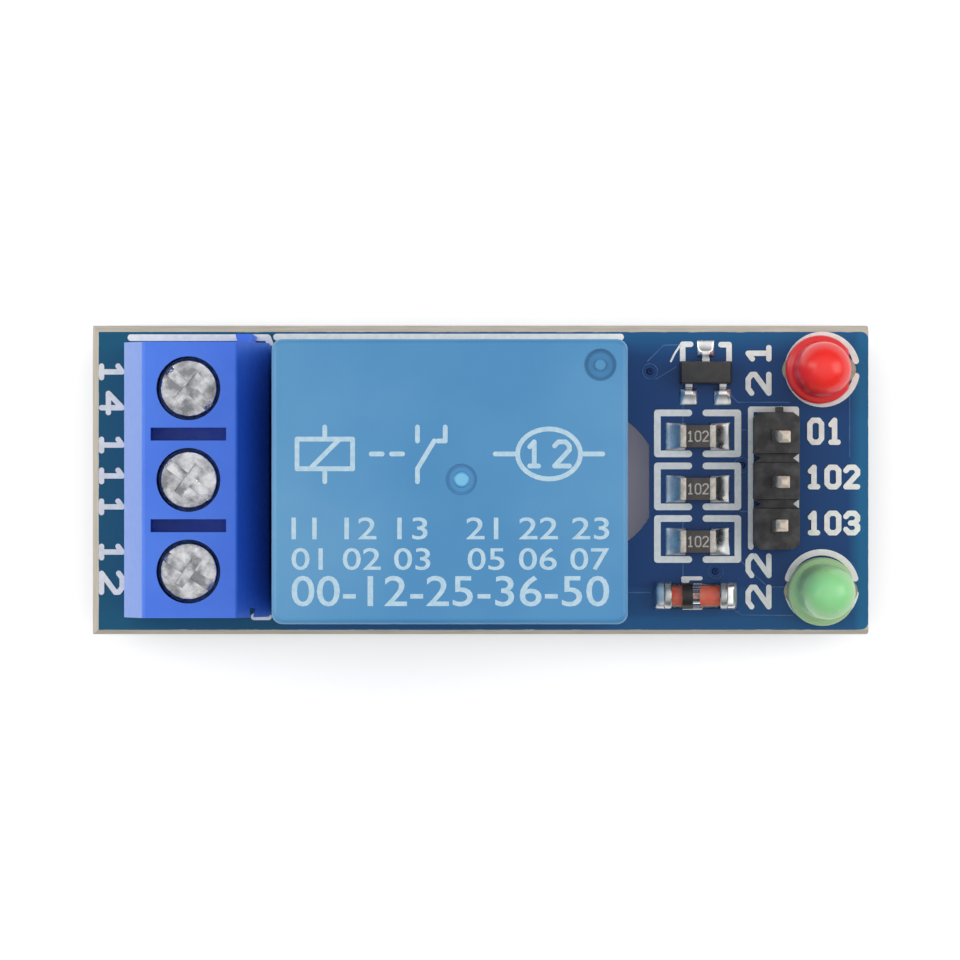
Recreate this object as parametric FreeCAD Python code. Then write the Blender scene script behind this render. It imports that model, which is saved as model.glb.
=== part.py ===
# Single-channel relay module: a blue circuit board with a sealed relay, a three-pole screw
# terminal block, a pin header, two small lamps, a transistor, chip resistors and a glass diode.
# Lengths are in millimetres. +X runs along the board from the terminal block to the header,
# +Y across it, +Z out of the component side. Z is 0 at the tips of the longest pin tails.
import FreeCAD, Part
import math
import os

# Board
board_thickness = 1.6
tail_length = 2.0
score_width = {"top": 0.36, "left": 0.34, "bottom": 0.25}
score_depth = 0.5
corner_radius = 0.12

# Stations along the board, from its left edge to its right edge
edge_to_terminal = 2.04
terminal_depth = 7.91
terminal_to_relay = 0.37
relay_length = 19.24
relay_to_chips = 4.14
chips_to_header = 4.33
header_to_lamps = 2.47
lamps_to_edge = 2.70

# Terminal block
pole_count = 3
pole_pitch = 5.0
terminal_end_wall = 0.04
terminal_height = 10.0
terminal_front_height = 7.0
terminal_rear_height = 5.0
terminal_front_slope = 1.15
terminal_rear_slope = 1.63
screw_setback = 3.62
screw_hole_radius = 1.75
slot_length = 4.13
slot_width = 0.71
slot_depth = 3.0
rail_reach = 0.45
rail_root = 0.75
rail_tip = 1.04
rail_to_top = 2.0
rail_setback = 6.64
rail_play = 0.06
entry_width = 3.3
entry_to_roof = 0.6
entry_corner = 0.7
entry_flare = 0.3
terminal_edge_radius = 0.2

# Metal cage of a pole
cage_length = 4.0
cage_width = 4.2
cage_floor_height = 0.8
cage_wall = 0.5
cage_floor = 0.6
cage_roof = 1.0
cage_bend = 0.3
cage_play = 0.05
terminal_pin = (0.8, 1.0)

# Clamp screw and the leaf under it
thread_radius = 1.25
thread_play = 0.05
screw_travel = 1.8
screw_head_radius = 1.55
screw_head_height = 1.5
screw_head_chamfer = 0.2
head_sink = 0.3
screw_tip_play = 0.02
head_stop_play = 0.1
driver_slot_width = 0.5
driver_slot_depth = 0.6
cross_width = 0.55
cross_reach = 1.0
cross_depth = 0.9
screw_turn = -38.0
leaf_thickness = 0.4
leaf_width = 3.0
leaf_length = 3.2
leaf_lip = 0.5
leaf_play = 0.1

# Relay cover
relay_width = 15.4
relay_offset = -0.09
relay_height = 15.4
relay_foot_height = 0.3
relay_foot_size = 1.3
case_wall = 0.9
case_roof = 1.0
case_corner_radius = 0.6
case_edge_radius = 0.35
vent_inset = (1.49, 1.40)
vent_radius = 0.875
vent_depth = 0.22
vent_nub_radius = 0.3
gate_shift = (0.63, 0.11)
gate_radius = 0.85
gate_depth = 0.12
gate_nub_radius = 0.45
gate_nub_height = 0.1

# Relay base and pins
base_recess = 0.2
base_thickness = 1.8
base_play = 0.03
common_inset = 2.12
contact_inset = 2.92
coil_pin_inset = 4.12
pin_to_wall = 0.8
contact_pin = (0.5, 1.0)
coil_pin = 0.6
coil_pin_rise = 1.2

# Relay magnet
yoke_thickness = 1.0
yoke_inset = 0.9
yoke_to_common = 0.04
common_thickness = 0.4
core_share = 0.4
pole_share = 0.7
pole_height = 0.6
flange_share = 0.7547
flange_thickness = 0.7
flange_play = 0.1
bobbin_wall = 0.5
winding_margin = 0.4
coil_sides = 24
roof_room = 0.87
ear_width = 1.6

# Relay armature and contacts
pole_gap = 0.4
hinge_play = 0.03
armature_thickness = 0.9
armature_overhang = 0.3
armature_nose = 3.4
rivet_radius = 0.5
rivet_sides = 12
contact_sides = 16
rivet_height = 0.3
rivet_pitch = 2.6
rivet_setback = 2.4
spring_thickness = 0.2
spring_width = 3.4
spring_tail = 1.6
spring_nose = 0.5
contact_radius = 1.2
contact_height = 0.6
contact_shank = 0.5
contact_gap = 0.5
closed_gap = 0.03
strip_thickness = 0.4
strip_width = 2.4
common_stop = 0.35

# Header
header_pins = 3
header_pitch = 2.54
header_offset = -0.06
header_width = 2.54
header_height = 2.5
notch_depth = 0.37
notch_rise = 0.28
groove_width = 0.5
groove_depth = 0.35
nub_size = (0.41, 0.30, 1.6)
nub_shift = 0.18
square_pin = 0.64
header_pin_rise = 8.5
header_tail = 1.4
pin_point = 0.35
pin_point_size = 0.3
pin_lean = ((0.24, -0.11), (0.20, -0.06), (0.11, 0.10))

# Lamps
lamp_flange_radius = 1.9
lamp_flange_height = 1.0
lamp_flat = 1.6
lamp_radius = 1.5
lamp_height = 5.3
lamp_lift = 0.35
lamp_lead = 0.5
lamp_lead_pitch = 2.54
lamp_tail = 1.6
header_to_lamp_row = 0.46
lamp_row_to_edge = 0.53
lamp_step = 0.05
lamp_row_shift = -0.04
lamp_lean = {"power": 2.0, "signal": 4.0}
post_height = 2.3
anvil_height = 2.6
post_gap = 0.3
post_width = 0.8
post_step = 0.12
anvil_width = 1.3

# Chip parts
solder_film = 0.05
chip_pitch = 2.93
chip_row_offset = -0.5
resistor_length = 2.0
resistor_width = 1.25
resistor_thickness = 0.45
resistor_glaze = 0.04
cap_width = 0.35
cap_thickness = 0.05
resistor_pad_length = 3.6
resistor_pad_width = 1.56
solder_share = 0.8

transistor_shift = (0.43, 3.53)
transistor_body = (2.9, 1.3, 1.0)
transistor_lift = 0.1
transistor_draft = 0.1
transistor_lead_pitch = 1.9
transistor_lead_width = 0.42
transistor_lead_thickness = 0.12
transistor_lead_reach = 0.55
transistor_lead_root = 0.3
transistor_knee = 0.12
transistor_lead_slant = 0.06
transistor_pad = (1.0, 0.95)
transistor_pad_centre = 1.35

diode_shift = (-0.13, -3.02)
diode_length = 3.56
diode_radius = 0.75
diode_cap_length = 0.45
diode_glass_radius = 0.70
diode_sides = 16
slug_radius = 0.4
slug_gap = 0.4
diode_chip = 0.3
diode_pad_length = 4.66
diode_pad_width = 1.6

# Pins, plated holes and solder under the board
pin_taper = 0.6
hole_clearance = 0.2
pad_margin = 0.45
cone_height = 0.9
cone_tip = 0.1
cone_sides = 12
top_ring = 0.08
lamp_pad_radius = 0.8

# Milled slot at the relay's common pin
slot_outer_radius = 4.09
slot_inner_radius = 2.1
slot_beyond_relay = 1.45
slot_half_angle = 100.0

# Places worked out from the sizes above
V = FreeCAD.Vector
UP = V(0, 0, 1)
chip_to_edge = chips_to_header + header_to_lamps + lamps_to_edge
board_length = (edge_to_terminal + terminal_depth + terminal_to_relay + relay_length
                + relay_to_chips + chip_to_edge)
header_length = header_pins * header_pitch
lamp_row = header_length / 2 + header_to_lamp_row + lamp_flange_radius
board_half_width = lamp_row + lamp_flange_radius + lamp_row_to_edge
board_left = -board_length / 2
board_right = board_length / 2
under = tail_length
deck = tail_length + board_thickness

terminal_front = board_left + edge_to_terminal
terminal_rear = terminal_front + terminal_depth
terminal_half = pole_count * pole_pitch / 2 + terminal_end_wall
screw_x = terminal_front + screw_setback
cage_height = (terminal_height - head_sink - screw_head_height - head_stop_play - screw_travel
               - cage_floor_height)
entry_height = cage_height - cage_floor - cage_roof - entry_to_roof
rail_height = terminal_height - rail_to_top
pole_y = [(pole_count - 1) * pole_pitch / 2 - i * pole_pitch for i in range(pole_count)]

relay_left = terminal_rear + terminal_to_relay
relay_right = relay_left + relay_length
relay_x = (relay_left + relay_right) / 2
relay_y = relay_offset
relay_rim = deck + relay_foot_height
relay_top = deck + relay_height
common_x = relay_right - common_inset
contact_x = relay_left + contact_inset
coil_pin_x = relay_right - coil_pin_inset
side_pin_offset = relay_width / 2 - case_wall - pin_to_wall

chip_x = relay_right + relay_to_chips
header_x = chip_x + chips_to_header
lamp_x = header_x + header_to_lamps


def box(x0, x1, y0, y1, z0, z1):
    return Part.makeBox(x1 - x0, y1 - y0, z1 - z0, V(x0, y0, z0))


def block(centre, size, z0, z1):
    """An upright block around a point, with its size along X and along Y."""
    x, y = centre
    return box(x - size[0] / 2, x + size[0] / 2, y - size[1] / 2, y + size[1] / 2, z0, z1)


def rod(x, y, radius, z0, z1):
    return Part.makeCylinder(radius, z1 - z0, V(x, y, z0))


def prism_y(outline, y0, y1):
    """An outline of (x, z) points, extruded across the board."""
    points = [V(x, y0, z) for x, z in outline]
    face = Part.Face(Part.makePolygon(points + points[:1]))
    return face.extrude(V(0, y1 - y0, 0))


def prism_x(outline, x0, x1):
    """An outline of (y, z) points, extruded along the board."""
    points = [V(x0, y, z) for y, z in outline]
    face = Part.Face(Part.makePolygon(points + points[:1]))
    return face.extrude(V(x1 - x0, 0, 0))


def prism_z(outline, z0, z1):
    """An outline of (x, y) points, extruded upwards."""
    points = [V(x, y, z0) for x, y in outline]
    face = Part.Face(Part.makePolygon(points + points[:1]))
    return face.extrude(V(0, 0, z1 - z0))


def flat_sided(low, high):
    """A solid with flat sides between two rings of as many points, each ring given anticlockwise."""
    count = len(low)
    rings = [low[::-1], high]
    for i in range(count):
        j = (i + 1) % count
        rings.append([low[i], low[j], high[j], high[i]])
    faces = [Part.Face(Part.makePolygon(ring + ring[:1])) for ring in rings]
    return Part.Solid(Part.Shell(faces))


def oblong(x, y, size, z):
    """The four corners of a level rectangle around a point."""
    return [V(x + sx * size[0] / 2, y + sy * size[1] / 2, z) for sx, sy in ((-1, -1), (1, -1), (1, 1), (-1, 1))]


def many_sided(x, y, low_radius, high_radius, z0, z1, sides):
    """An upright stub with flat sides, for small round things that repeat or are hidden."""
    turns = [2 * math.pi * i / sides for i in range(sides)]
    low = [V(x + low_radius * math.cos(t), y + low_radius * math.sin(t), z0) for t in turns]
    high = [V(x + high_radius * math.cos(t), y + high_radius * math.sin(t), z1) for t in turns]
    return flat_sided(low, high)


def turned(outline, x, y):
    """An outline of (radius, z) points, turned about an upright axis at x, y."""
    points = [V(x + r, y, z) for r, z in outline]
    face = Part.Face(Part.makePolygon(points + points[:1]))
    return face.revolve(V(x, y, 0), UP, 360)


def joined(shapes):
    """One solid from shapes that touch or cross."""
    return shapes[0].multiFuse(shapes[1:]).removeSplitter()


def rounded(shape, radius, wanted):
    """The shape with a radius on the edges that the test picks."""
    edges = [edge for edge in shape.Edges if wanted(edge)]
    return shape.makeFillet(radius, edges)


def runs_along(edge, axis):
    """Whether an edge is straight and lies along the axis 0, 1 or 2."""
    a = edge.Vertexes[0].Point
    b = edge.Vertexes[-1].Point
    step = b - a
    return step.Length > 0.01 and abs(abs(step[axis]) - step.Length) < 1e-6


def save(name, *shapes):
    """Writes the solids of one sub-part to its own file."""
    solids = [solid for shape in shapes for solid in shape.Solids]
    whole = solids[0] if len(solids) == 1 else Part.makeCompound(solids)
    whole.exportStep("parts/" + name + ".step")


def pointed_pin(x, y, size, z0, z1):
    """A flat-sided pin whose lower end is tapered."""
    taper = min(size) * pin_taper
    tip_size = (size[0] * pin_taper, size[1] * pin_taper)
    tip = flat_sided(oblong(x, y, tip_size, z0), oblong(x, y, size, z0 + taper))
    return joined([tip, block((x, y), size, z0 + taper, z1)])


def hole_radius(size):
    """The plated hole for a pin of this section."""
    return math.hypot(size[0], size[1]) / 2 + hole_clearance / 2


# Every pin that goes through the board: its place, its section and the solder's name
joints = []
for y in pole_y:
    joints.append(("terminal_solder", screw_x, y, terminal_pin))
joints.append(("relay_solder", common_x, relay_y, contact_pin))
for side in (-1, 1):
    joints.append(("relay_solder", contact_x, relay_y + side * side_pin_offset, contact_pin))
    joints.append(("relay_solder", coil_pin_x, relay_y + side * side_pin_offset, (coil_pin, coil_pin)))
pin_y = [header_offset + (1 - i) * header_pitch for i in range(header_pins)]
for y in pin_y:
    joints.append(("header_solder", header_x, y, (square_pin, square_pin)))
lamp_places = {"power": (lamp_x - lamp_step, lamp_row + lamp_row_shift),
               "signal": (lamp_x + lamp_step, -lamp_row + lamp_row_shift)}
for x, y in lamp_places.values():
    for side in (-1, 1):
        joints.append(("lamp_solder", x + side * lamp_lead_pitch / 2, y, (lamp_lead, lamp_lead)))


def make_board():
    """Laminate with snapped V-scored edges on three sides, plated holes and the milled slot."""
    plate = box(board_left, board_right, -board_half_width, board_half_width, under, deck)
    plate = rounded(plate, corner_radius, lambda e: runs_along(e, 2) and e.CenterOfMass.x > 0)
    reach = board_length
    half = board_half_width
    for z, inward in ((under, 1), (deck, -1)):
        deep = z + inward * score_depth
        top = score_width["top"]
        plate = plate.cut(prism_x([(half, z), (half - top, z), (half, deep)], -reach, reach))
        low = score_width["bottom"]
        plate = plate.cut(prism_x([(-half, z), (-half + low, z), (-half, deep)], -reach, reach))
        left = score_width["left"]
        edge = board_left
        plate = plate.cut(prism_y([(edge, z), (edge + left, z), (edge, deep)], -reach, reach))
    for _, x, y, size in joints:
        plate = plate.cut(rod(x, y, hole_radius(size), under, deck))
    sector = [(common_x, relay_y)]
    for share in (-1.0, -0.5, 0.0, 0.5, 1.0):
        angle = math.radians(share * slot_half_angle)
        sector.append((common_x + 2 * slot_outer_radius * math.cos(angle),
                       relay_y + 2 * slot_outer_radius * math.sin(angle)))
    ring = rod(common_x, relay_y, slot_outer_radius, under, deck)
    ring = ring.cut(rod(common_x, relay_y, slot_inner_radius, under, deck))
    ring = ring.common(prism_z(sector, under, deck))
    straight = relay_right + slot_beyond_relay
    ring = ring.common(box(board_left, straight, -half, half, under, deck))
    return plate.cut(ring)


def through_solder(x, y, size, pin, ring):
    """Solder in a cone on the pad under the board, and in a flat ring where the upper pad shows."""
    pad = hole_radius(size) + pad_margin
    tip = math.hypot(size[0], size[1]) / 2 + cone_tip
    solder = [many_sided(x, y, tip, pad, under - cone_height, under, cone_sides).cut(pin)]
    if ring:
        solder.append(many_sided(x, y, ring, ring, deck, deck + top_ring, cone_sides).cut(pin))
    return solder


def chip_solder(end, pad_end, y, width, height, along_y=False):
    """Solder under and beside one end of a chip part: a film with a hollow slope up the end."""
    run = pad_end - end
    slope = [(end, deck), (end, deck + height), (end + run * 0.3, deck + height * 0.4),
             (pad_end, deck + solder_film), (pad_end, deck)]
    if along_y:
        return prism_x(slope, y - width / 2, y + width / 2)
    return prism_y(slope, y - width / 2, y + width / 2)


def terminal_pocket(y, play):
    """The room that the cage takes in the moulding, open towards the board."""
    return block((screw_x, y), (cage_length + 2 * play, cage_width + 2 * play),
                 deck, deck + cage_floor_height + cage_height + play)


def wire_entry(y):
    """A mouth with rounded corners that flares at the front face."""
    floor = deck + cage_floor_height + cage_floor
    z0 = floor
    z1 = floor + entry_height
    half = entry_width / 2
    inner = screw_x - cage_length / 2
    mouth = box(terminal_front - entry_corner, inner, y - half, y + half, z0, z1)
    mouth = rounded(mouth, entry_corner, lambda e: runs_along(e, 0) and e.CenterOfMass.z > z1 - 0.001)
    flare = entry_flare

    def ring(x, grow):
        corners = ((-1, z0 - grow), (1, z0 - grow), (1, z1 + grow), (-1, z1 + grow))
        return [V(x, y + side * (half + grow), z) for side, z in corners]

    funnel = flat_sided(ring(terminal_front, flare), ring(terminal_front + flare, 0))
    return mouth, funnel


def make_terminal_housing():
    """The moulding: sloped front and rear, rail and groove, screw wells, mouths and pockets."""
    front = terminal_front
    rear = terminal_rear
    top = deck + terminal_height
    outline = [(front, deck), (front, deck + terminal_front_height),
               (front + terminal_front_slope, top), (rear - terminal_rear_slope, top),
               (rear, deck + terminal_rear_height), (rear, deck)]
    body = prism_y(outline, -terminal_half, terminal_half)
    body = rounded(body, terminal_edge_radius,
                   lambda e: runs_along(e, 1) and e.CenterOfMass.z > deck + terminal_rear_height / 2)

    def dovetail(y, play, low, high):
        x = front + rail_setback
        outward = y + rail_reach + play
        half_root = rail_root / 2 + play
        half_tip = rail_tip / 2 + play
        return prism_z([(x - half_root, y), (x + half_root, y),
                        (x + half_tip, outward), (x - half_tip, outward)], low, high)

    rail = dovetail(terminal_half, 0, deck, deck + rail_height)
    groove = dovetail(-terminal_half, rail_play, deck, deck + rail_height)
    body = joined([body, rail]).cut(groove)
    for y in pole_y:
        mouth, funnel = wire_entry(y)
        body = body.cut(mouth).cut(funnel)
        body = body.cut(terminal_pocket(y, cage_play))
        well_floor = deck + cage_floor_height + cage_height
        body = body.cut(rod(screw_x, y, screw_hole_radius, well_floor, top))
    for upper, lower in zip(pole_y, pole_y[1:]):
        y = (upper + lower) / 2
        body = body.cut(block((screw_x, y), (slot_length, slot_width), top - slot_depth, top))
    return body


def make_cage(y):
    """Bent strip: floor, sides and a thick threaded roof, with the solder pin below."""
    z0 = deck + cage_floor_height
    z1 = z0 + cage_height
    outer = block((screw_x, y), (cage_length, cage_width), z0, z1)
    outer = outer.makeChamfer(cage_bend, [e for e in outer.Edges if runs_along(e, 0)])
    inner = block((screw_x, y), (2 * cage_length, cage_width - 2 * cage_wall),
                  z0 + cage_floor, z1 - cage_roof)
    cage = outer.cut(inner)
    cage = cage.cut(rod(screw_x, y, thread_radius + thread_play, z1 - cage_roof, z1))
    return joined([cage, pointed_pin(screw_x, y, terminal_pin, 0, z0 + cage_floor / 2)])


def make_leaf(y):
    """The leaf that the screw presses on the wire, with its front lip bent down as a guide."""
    top = deck + cage_floor_height + cage_height - cage_roof - leaf_play
    front = screw_x - leaf_length / 2
    rear = screw_x + leaf_length / 2
    lip = leaf_lip * 0.6
    outline = [(rear, top), (front, top), (front - lip, top - leaf_lip),
               (front - lip + leaf_thickness, top - leaf_lip - leaf_thickness * 0.6),
               (front + leaf_thickness * 0.6, top - leaf_thickness), (rear, top - leaf_thickness)]
    return prism_y(outline, y - leaf_width / 2, y + leaf_width / 2)


def make_screw(y):
    """Clamp screw with a slot across its head and a cross recess in the middle."""
    leaf_top = deck + cage_floor_height + cage_height - cage_roof - leaf_play
    tip = leaf_top + screw_tip_play
    head = deck + cage_floor_height + cage_height + screw_travel + head_stop_play
    top = head + screw_head_height
    chamfer = screw_head_chamfer
    screw = turned([(0, tip), (thread_radius, tip), (thread_radius, head), (screw_head_radius, head),
                    (screw_head_radius, top - chamfer), (screw_head_radius - chamfer, top),
                    (0, top)], screw_x, y)
    slot = block((screw_x, y), (2 * screw_head_radius, driver_slot_width), top - driver_slot_depth, top)
    cuts = [slot]
    for turn in (0, 90):
        floor = cross_reach * 0.35
        wing = prism_y([(screw_x - cross_reach, top), (screw_x - floor, top - cross_depth),
                        (screw_x + floor, top - cross_depth), (screw_x + cross_reach, top)],
                       y - cross_width / 2, y + cross_width / 2)
        wing.rotate(V(screw_x, y, 0), UP, turn)
        cuts.append(wing)
    for cut in cuts:
        cut.rotate(V(screw_x, y, 0), UP, screw_turn)
        screw = screw.cut(cut)
    return screw


def make_relay_case():
    """Moulded cover, open below, with feet, a vent recess and a gate mark on its roof."""
    half = relay_width / 2
    shell = box(relay_left, relay_right, relay_y - half, relay_y + half, relay_rim, relay_top)
    shell = rounded(shell, case_corner_radius, lambda e: runs_along(e, 2))
    shell = rounded(shell, case_edge_radius, lambda e: e.BoundBox.ZMin > relay_top - 0.001)
    room = box(relay_left + case_wall, relay_right - case_wall, relay_y - half + case_wall,
               relay_y + half - case_wall, relay_rim, relay_top - case_roof)
    shell = shell.cut(room)
    reach = relay_foot_size
    for side_x in (-1, 1):
        for side_y in (-1, 1):
            x = relay_x + side_x * (relay_length / 2 - reach / 2 - case_corner_radius)
            y = relay_y + side_y * (half - case_wall / 2)
            shell = shell.fuse(block((x, y), (reach, case_wall), deck, relay_rim))
    shell = shell.removeSplitter()
    vent_x = relay_right - vent_inset[0]
    vent_y = relay_y + half - vent_inset[1]
    recess = rod(vent_x, vent_y, vent_radius, relay_top - vent_depth, relay_top)
    nub = rod(vent_x, vent_y, vent_nub_radius, relay_top - vent_depth, relay_top - vent_depth * 0.4)
    shell = shell.cut(recess.cut(nub))
    gate_x = relay_x + gate_shift[0]
    gate_y = relay_y + gate_shift[1]
    dish = rod(gate_x, gate_y, gate_radius, relay_top - gate_depth, relay_top)
    shell = shell.cut(dish)
    stub = turned([(0, relay_top - gate_depth), (gate_nub_radius, relay_top - gate_depth),
                   (gate_nub_radius * 0.7, relay_top - gate_depth + gate_nub_height),
                   (0, relay_top - gate_depth + gate_nub_height)], gate_x, gate_y)
    return joined([shell, stub])


# Relay levels: the base and the coil's floor stand on the board, the rest hangs from the roof
base_floor = relay_rim + base_recess
base_top = base_floor + base_thickness
magnet_floor = base_top + yoke_thickness
winding_floor = magnet_floor + flange_thickness
strip_top = relay_top - case_roof - roof_room
closed_floor = strip_top - strip_thickness
spring_top = closed_floor - contact_height - closed_gap - contact_height
armature_top = spring_top - spring_thickness
pivot_z = armature_top - armature_thickness
pole_floor = pivot_z - pole_gap - pole_height
winding_top = pole_floor - flange_thickness
open_floor = armature_top - contact_height - contact_gap - contact_height - strip_thickness
yoke_outer = common_x - common_thickness / 2 - yoke_to_common
yoke_inner = yoke_outer - yoke_thickness
flange_size = flange_share * (yoke_inner - flange_play - contact_x - strip_width / 2)
yoke_width = flange_size - 2 * yoke_inset
armature_width = yoke_width + 2 * armature_overhang
winding_radius = flange_size / 2 - winding_margin
core_radius = core_share * winding_radius
pole_radius = pole_share * winding_radius
coil_x = yoke_inner - flange_play - flange_size / 2


def make_common_terminal():
    """Pin and upright strip of the moving contact, ending below the bend of the spring."""
    top = pivot_z - spring_tail - common_stop
    pin = pointed_pin(common_x, relay_y, contact_pin, 0, base_top)
    strip = block((common_x, relay_y), (common_thickness, strip_width), base_floor, top)
    return joined([pin, strip])


def contact_head(z0, z1):
    """The silver head of a contact rivet."""
    return many_sided(contact_x, relay_y, contact_radius, contact_radius, z0, z1, contact_sides)


def make_fixed_contact(side, strip_floor, head_floor, head_top):
    """Pin, riser and strip on one side, with the contact rivet's head at the moving contact."""
    y = relay_y + side * side_pin_offset
    pin = pointed_pin(contact_x, y, contact_pin, 0, base_top)
    half = strip_width / 2
    riser = block((contact_x, y), (strip_width, strip_thickness), base_floor, strip_floor + strip_thickness)
    end = relay_y - side * contact_radius
    outer = y + side * strip_thickness / 2
    strip = box(contact_x - half, contact_x + half, min(end, outer), max(end, outer),
                strip_floor, strip_floor + strip_thickness)
    head = contact_head(min(head_floor, head_top), max(head_floor, head_top))
    return joined([pin, riser, strip, head])


def make_coil_pins():
    pins = []
    for side in (-1, 1):
        y = relay_y + side * side_pin_offset
        pins.append(pointed_pin(coil_pin_x, y, (coil_pin, coil_pin), 0, winding_floor + coil_pin_rise))
    return pins


def spool_bar(radius, z0, z1):
    """A bar on the coil's axis."""
    return many_sided(coil_x, relay_y, radius, radius, z0, z1, coil_sides)


def make_bobbin(pins):
    """Spool with square flanges; ears on the lower one hold the coil pins."""
    half = flange_size / 2
    parts = [block((coil_x, relay_y), (flange_size, flange_size), magnet_floor, winding_floor),
             block((coil_x, relay_y), (flange_size, flange_size), winding_top, pole_floor),
             spool_bar(core_radius + bobbin_wall, magnet_floor, pole_floor)]
    for side in (-1, 1):
        y0 = relay_y + side * (half - flange_thickness)
        y1 = relay_y + side * (side_pin_offset + coil_pin)
        parts.append(box(coil_pin_x - ear_width / 2, coil_pin_x + ear_width / 2,
                         min(y0, y1), max(y0, y1), magnet_floor, winding_floor))
    spool = joined(parts).cut(spool_bar(core_radius, magnet_floor, pole_floor))
    for pin in pins:
        spool = spool.cut(pin)
    return spool


def make_yoke():
    """L-shaped iron: a floor under the coil and a back that carries the armature."""
    half = yoke_width / 2
    outline = [(coil_x - pole_radius, base_top), (yoke_outer, base_top),
               (yoke_outer, pivot_z - hinge_play), (yoke_inner, pivot_z - hinge_play),
               (yoke_inner, magnet_floor), (coil_x - pole_radius, magnet_floor)]
    yoke = prism_y(outline, relay_y - half, relay_y + half)
    return yoke.cut(rod(coil_x, relay_y, core_radius, base_top, magnet_floor))


def make_core():
    return joined([spool_bar(core_radius, base_top, pole_floor),
                   spool_bar(pole_radius, pole_floor, pole_floor + pole_height)])


def make_armature():
    """Iron plate on the yoke's edge, with two rivets that pass up through the spring."""
    half = armature_width / 2
    nose = coil_x - armature_nose
    plate = prism_z([(yoke_outer, relay_y - half), (yoke_outer, relay_y + half),
                     (coil_x, relay_y + half), (nose, relay_y + spring_width / 2),
                     (nose, relay_y - spring_width / 2), (coil_x, relay_y - half)],
                    pivot_z, armature_top)
    rivets = [many_sided(coil_x + rivet_setback - i * rivet_pitch, relay_y, rivet_radius, rivet_radius,
                         armature_top, spring_top + rivet_height, rivet_sides) for i in (0, 1)]
    return joined([plate] + rivets), rivets


def make_contact_spring(rivets):
    """Strip on the armature that carries the moving contact; its tail bends down at the back."""
    half = spring_width / 2
    rear = common_x
    inner = rear - spring_thickness
    outline = [(contact_x - contact_radius - spring_nose, armature_top), (inner, armature_top),
               (inner, pivot_z - spring_tail), (rear, pivot_z - spring_tail),
               (rear, spring_top), (contact_x - contact_radius - spring_nose, spring_top)]
    strip = prism_y(outline, relay_y - half, relay_y + half)
    for rivet in rivets:
        strip = strip.cut(rivet)
    return strip.cut(contact_stem())


def contact_stem():
    """The stem of the moving contact, between its two heads."""
    return many_sided(contact_x, relay_y, contact_shank, contact_shank, armature_top, spring_top, rivet_sides)


def make_moving_contact():
    """Double-headed contact rivet in the end of the spring."""
    return joined([contact_head(armature_top - contact_height, armature_top), contact_stem(),
                   contact_head(spring_top, spring_top + contact_height)])


def make_header_housing():
    """Cells in one bar with a V notch and a groove between them, and a break-off nub at one end."""
    half = header_width / 2
    waist = half - notch_depth
    reach = header_pitch / 2
    flank = reach - notch_rise
    top = deck + header_height
    parts = []
    for y in pin_y:
        parts.append(prism_z([(header_x - half, y - flank), (header_x - waist, y - reach),
                              (header_x + waist, y - reach), (header_x + half, y - flank),
                              (header_x + half, y + flank), (header_x + waist, y + reach),
                              (header_x - waist, y + reach), (header_x - half, y + flank)], deck, top))
    end = pin_y[0] + reach
    parts.append(block((header_x + nub_shift, end + nub_size[1] / 2), nub_size[:2],
                       deck, deck + nub_size[2]))
    bar = joined(parts)
    for upper, lower in zip(pin_y, pin_y[1:]):
        bar = bar.cut(block((header_x, (upper + lower) / 2), (header_width, groove_width),
                            top - groove_depth, top))
    return bar


def make_header_pin(y, lean):
    """Square pin, pointed at both ends; above the plastic it leans a little."""
    size = (square_pin, square_pin)
    knee = deck + header_height
    lower = pointed_pin(header_x, y, size, under - header_tail, knee)

    top = deck + header_pin_rise
    tip_x = header_x + lean[0]
    tip_y = y + lean[1]
    shoulder = oblong(tip_x, tip_y, size, top - pin_point)
    shaft = flat_sided(oblong(header_x, y, size, knee), shoulder)
    point = flat_sided(shoulder, oblong(tip_x, tip_y, (pin_point_size, pin_point_size), top))
    return joined([lower, shaft, point])


def lamp_frame(name):
    """The lamp's foot on the board and its lean towards the board's end."""
    x, y = lamp_places[name]
    return x, y, deck + lamp_lift, lamp_lean[name]


def leaned(shape, x, y, z, lean):
    turned_shape = shape.copy()
    turned_shape.rotate(V(x, y, z), V(0, 1, 0), lean)
    return turned_shape


def make_lamp(name):
    """Domed lens with a flat on its flange, and the two leads that end inside it."""
    x, y, z, lean = lamp_frame(name)
    crown = z + lamp_height - lamp_radius
    flange = rod(x, y, lamp_flange_radius, z, z + lamp_flange_height)
    flange = flange.cut(box(x + lamp_flat, x + 2 * lamp_flat, y - lamp_flange_radius,
                            y + lamp_flange_radius, z, z + lamp_flange_height))
    barrel = rod(x, y, lamp_radius, z, crown)
    dome = Part.makeSphere(lamp_radius, V(x, y, crown), UP, 0, 90, 360)
    lens = leaned(joined([flange, barrel, dome]), x, y, z, lean)
    half = lamp_lead / 2
    tips = {"anode": (-1, post_height, post_width), "cathode": (1, anvil_height, anvil_width)}
    leads = {}
    for pole, (side, height, width) in tips.items():
        lead_x = x + side * lamp_lead_pitch / 2
        post_x = lead_x - side * post_step
        stem = pointed_pin(lead_x, y, (lamp_lead, lamp_lead), under - lamp_tail, z + lamp_flange_height / 3)
        inner_edge = x + side * post_gap / 2
        outer_edge = post_x + side * half
        post = joined([block((post_x, y), (lamp_lead, lamp_lead), z, z + height),
                       box(min(inner_edge, outer_edge), max(inner_edge, outer_edge),
                           y - half, y + half, z + height - width, z + height)])
        leads[pole] = joined([stem, leaned(post, x, y, z, lean)])
        lens = lens.cut(leads[pole])
    return lens, leads


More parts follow.
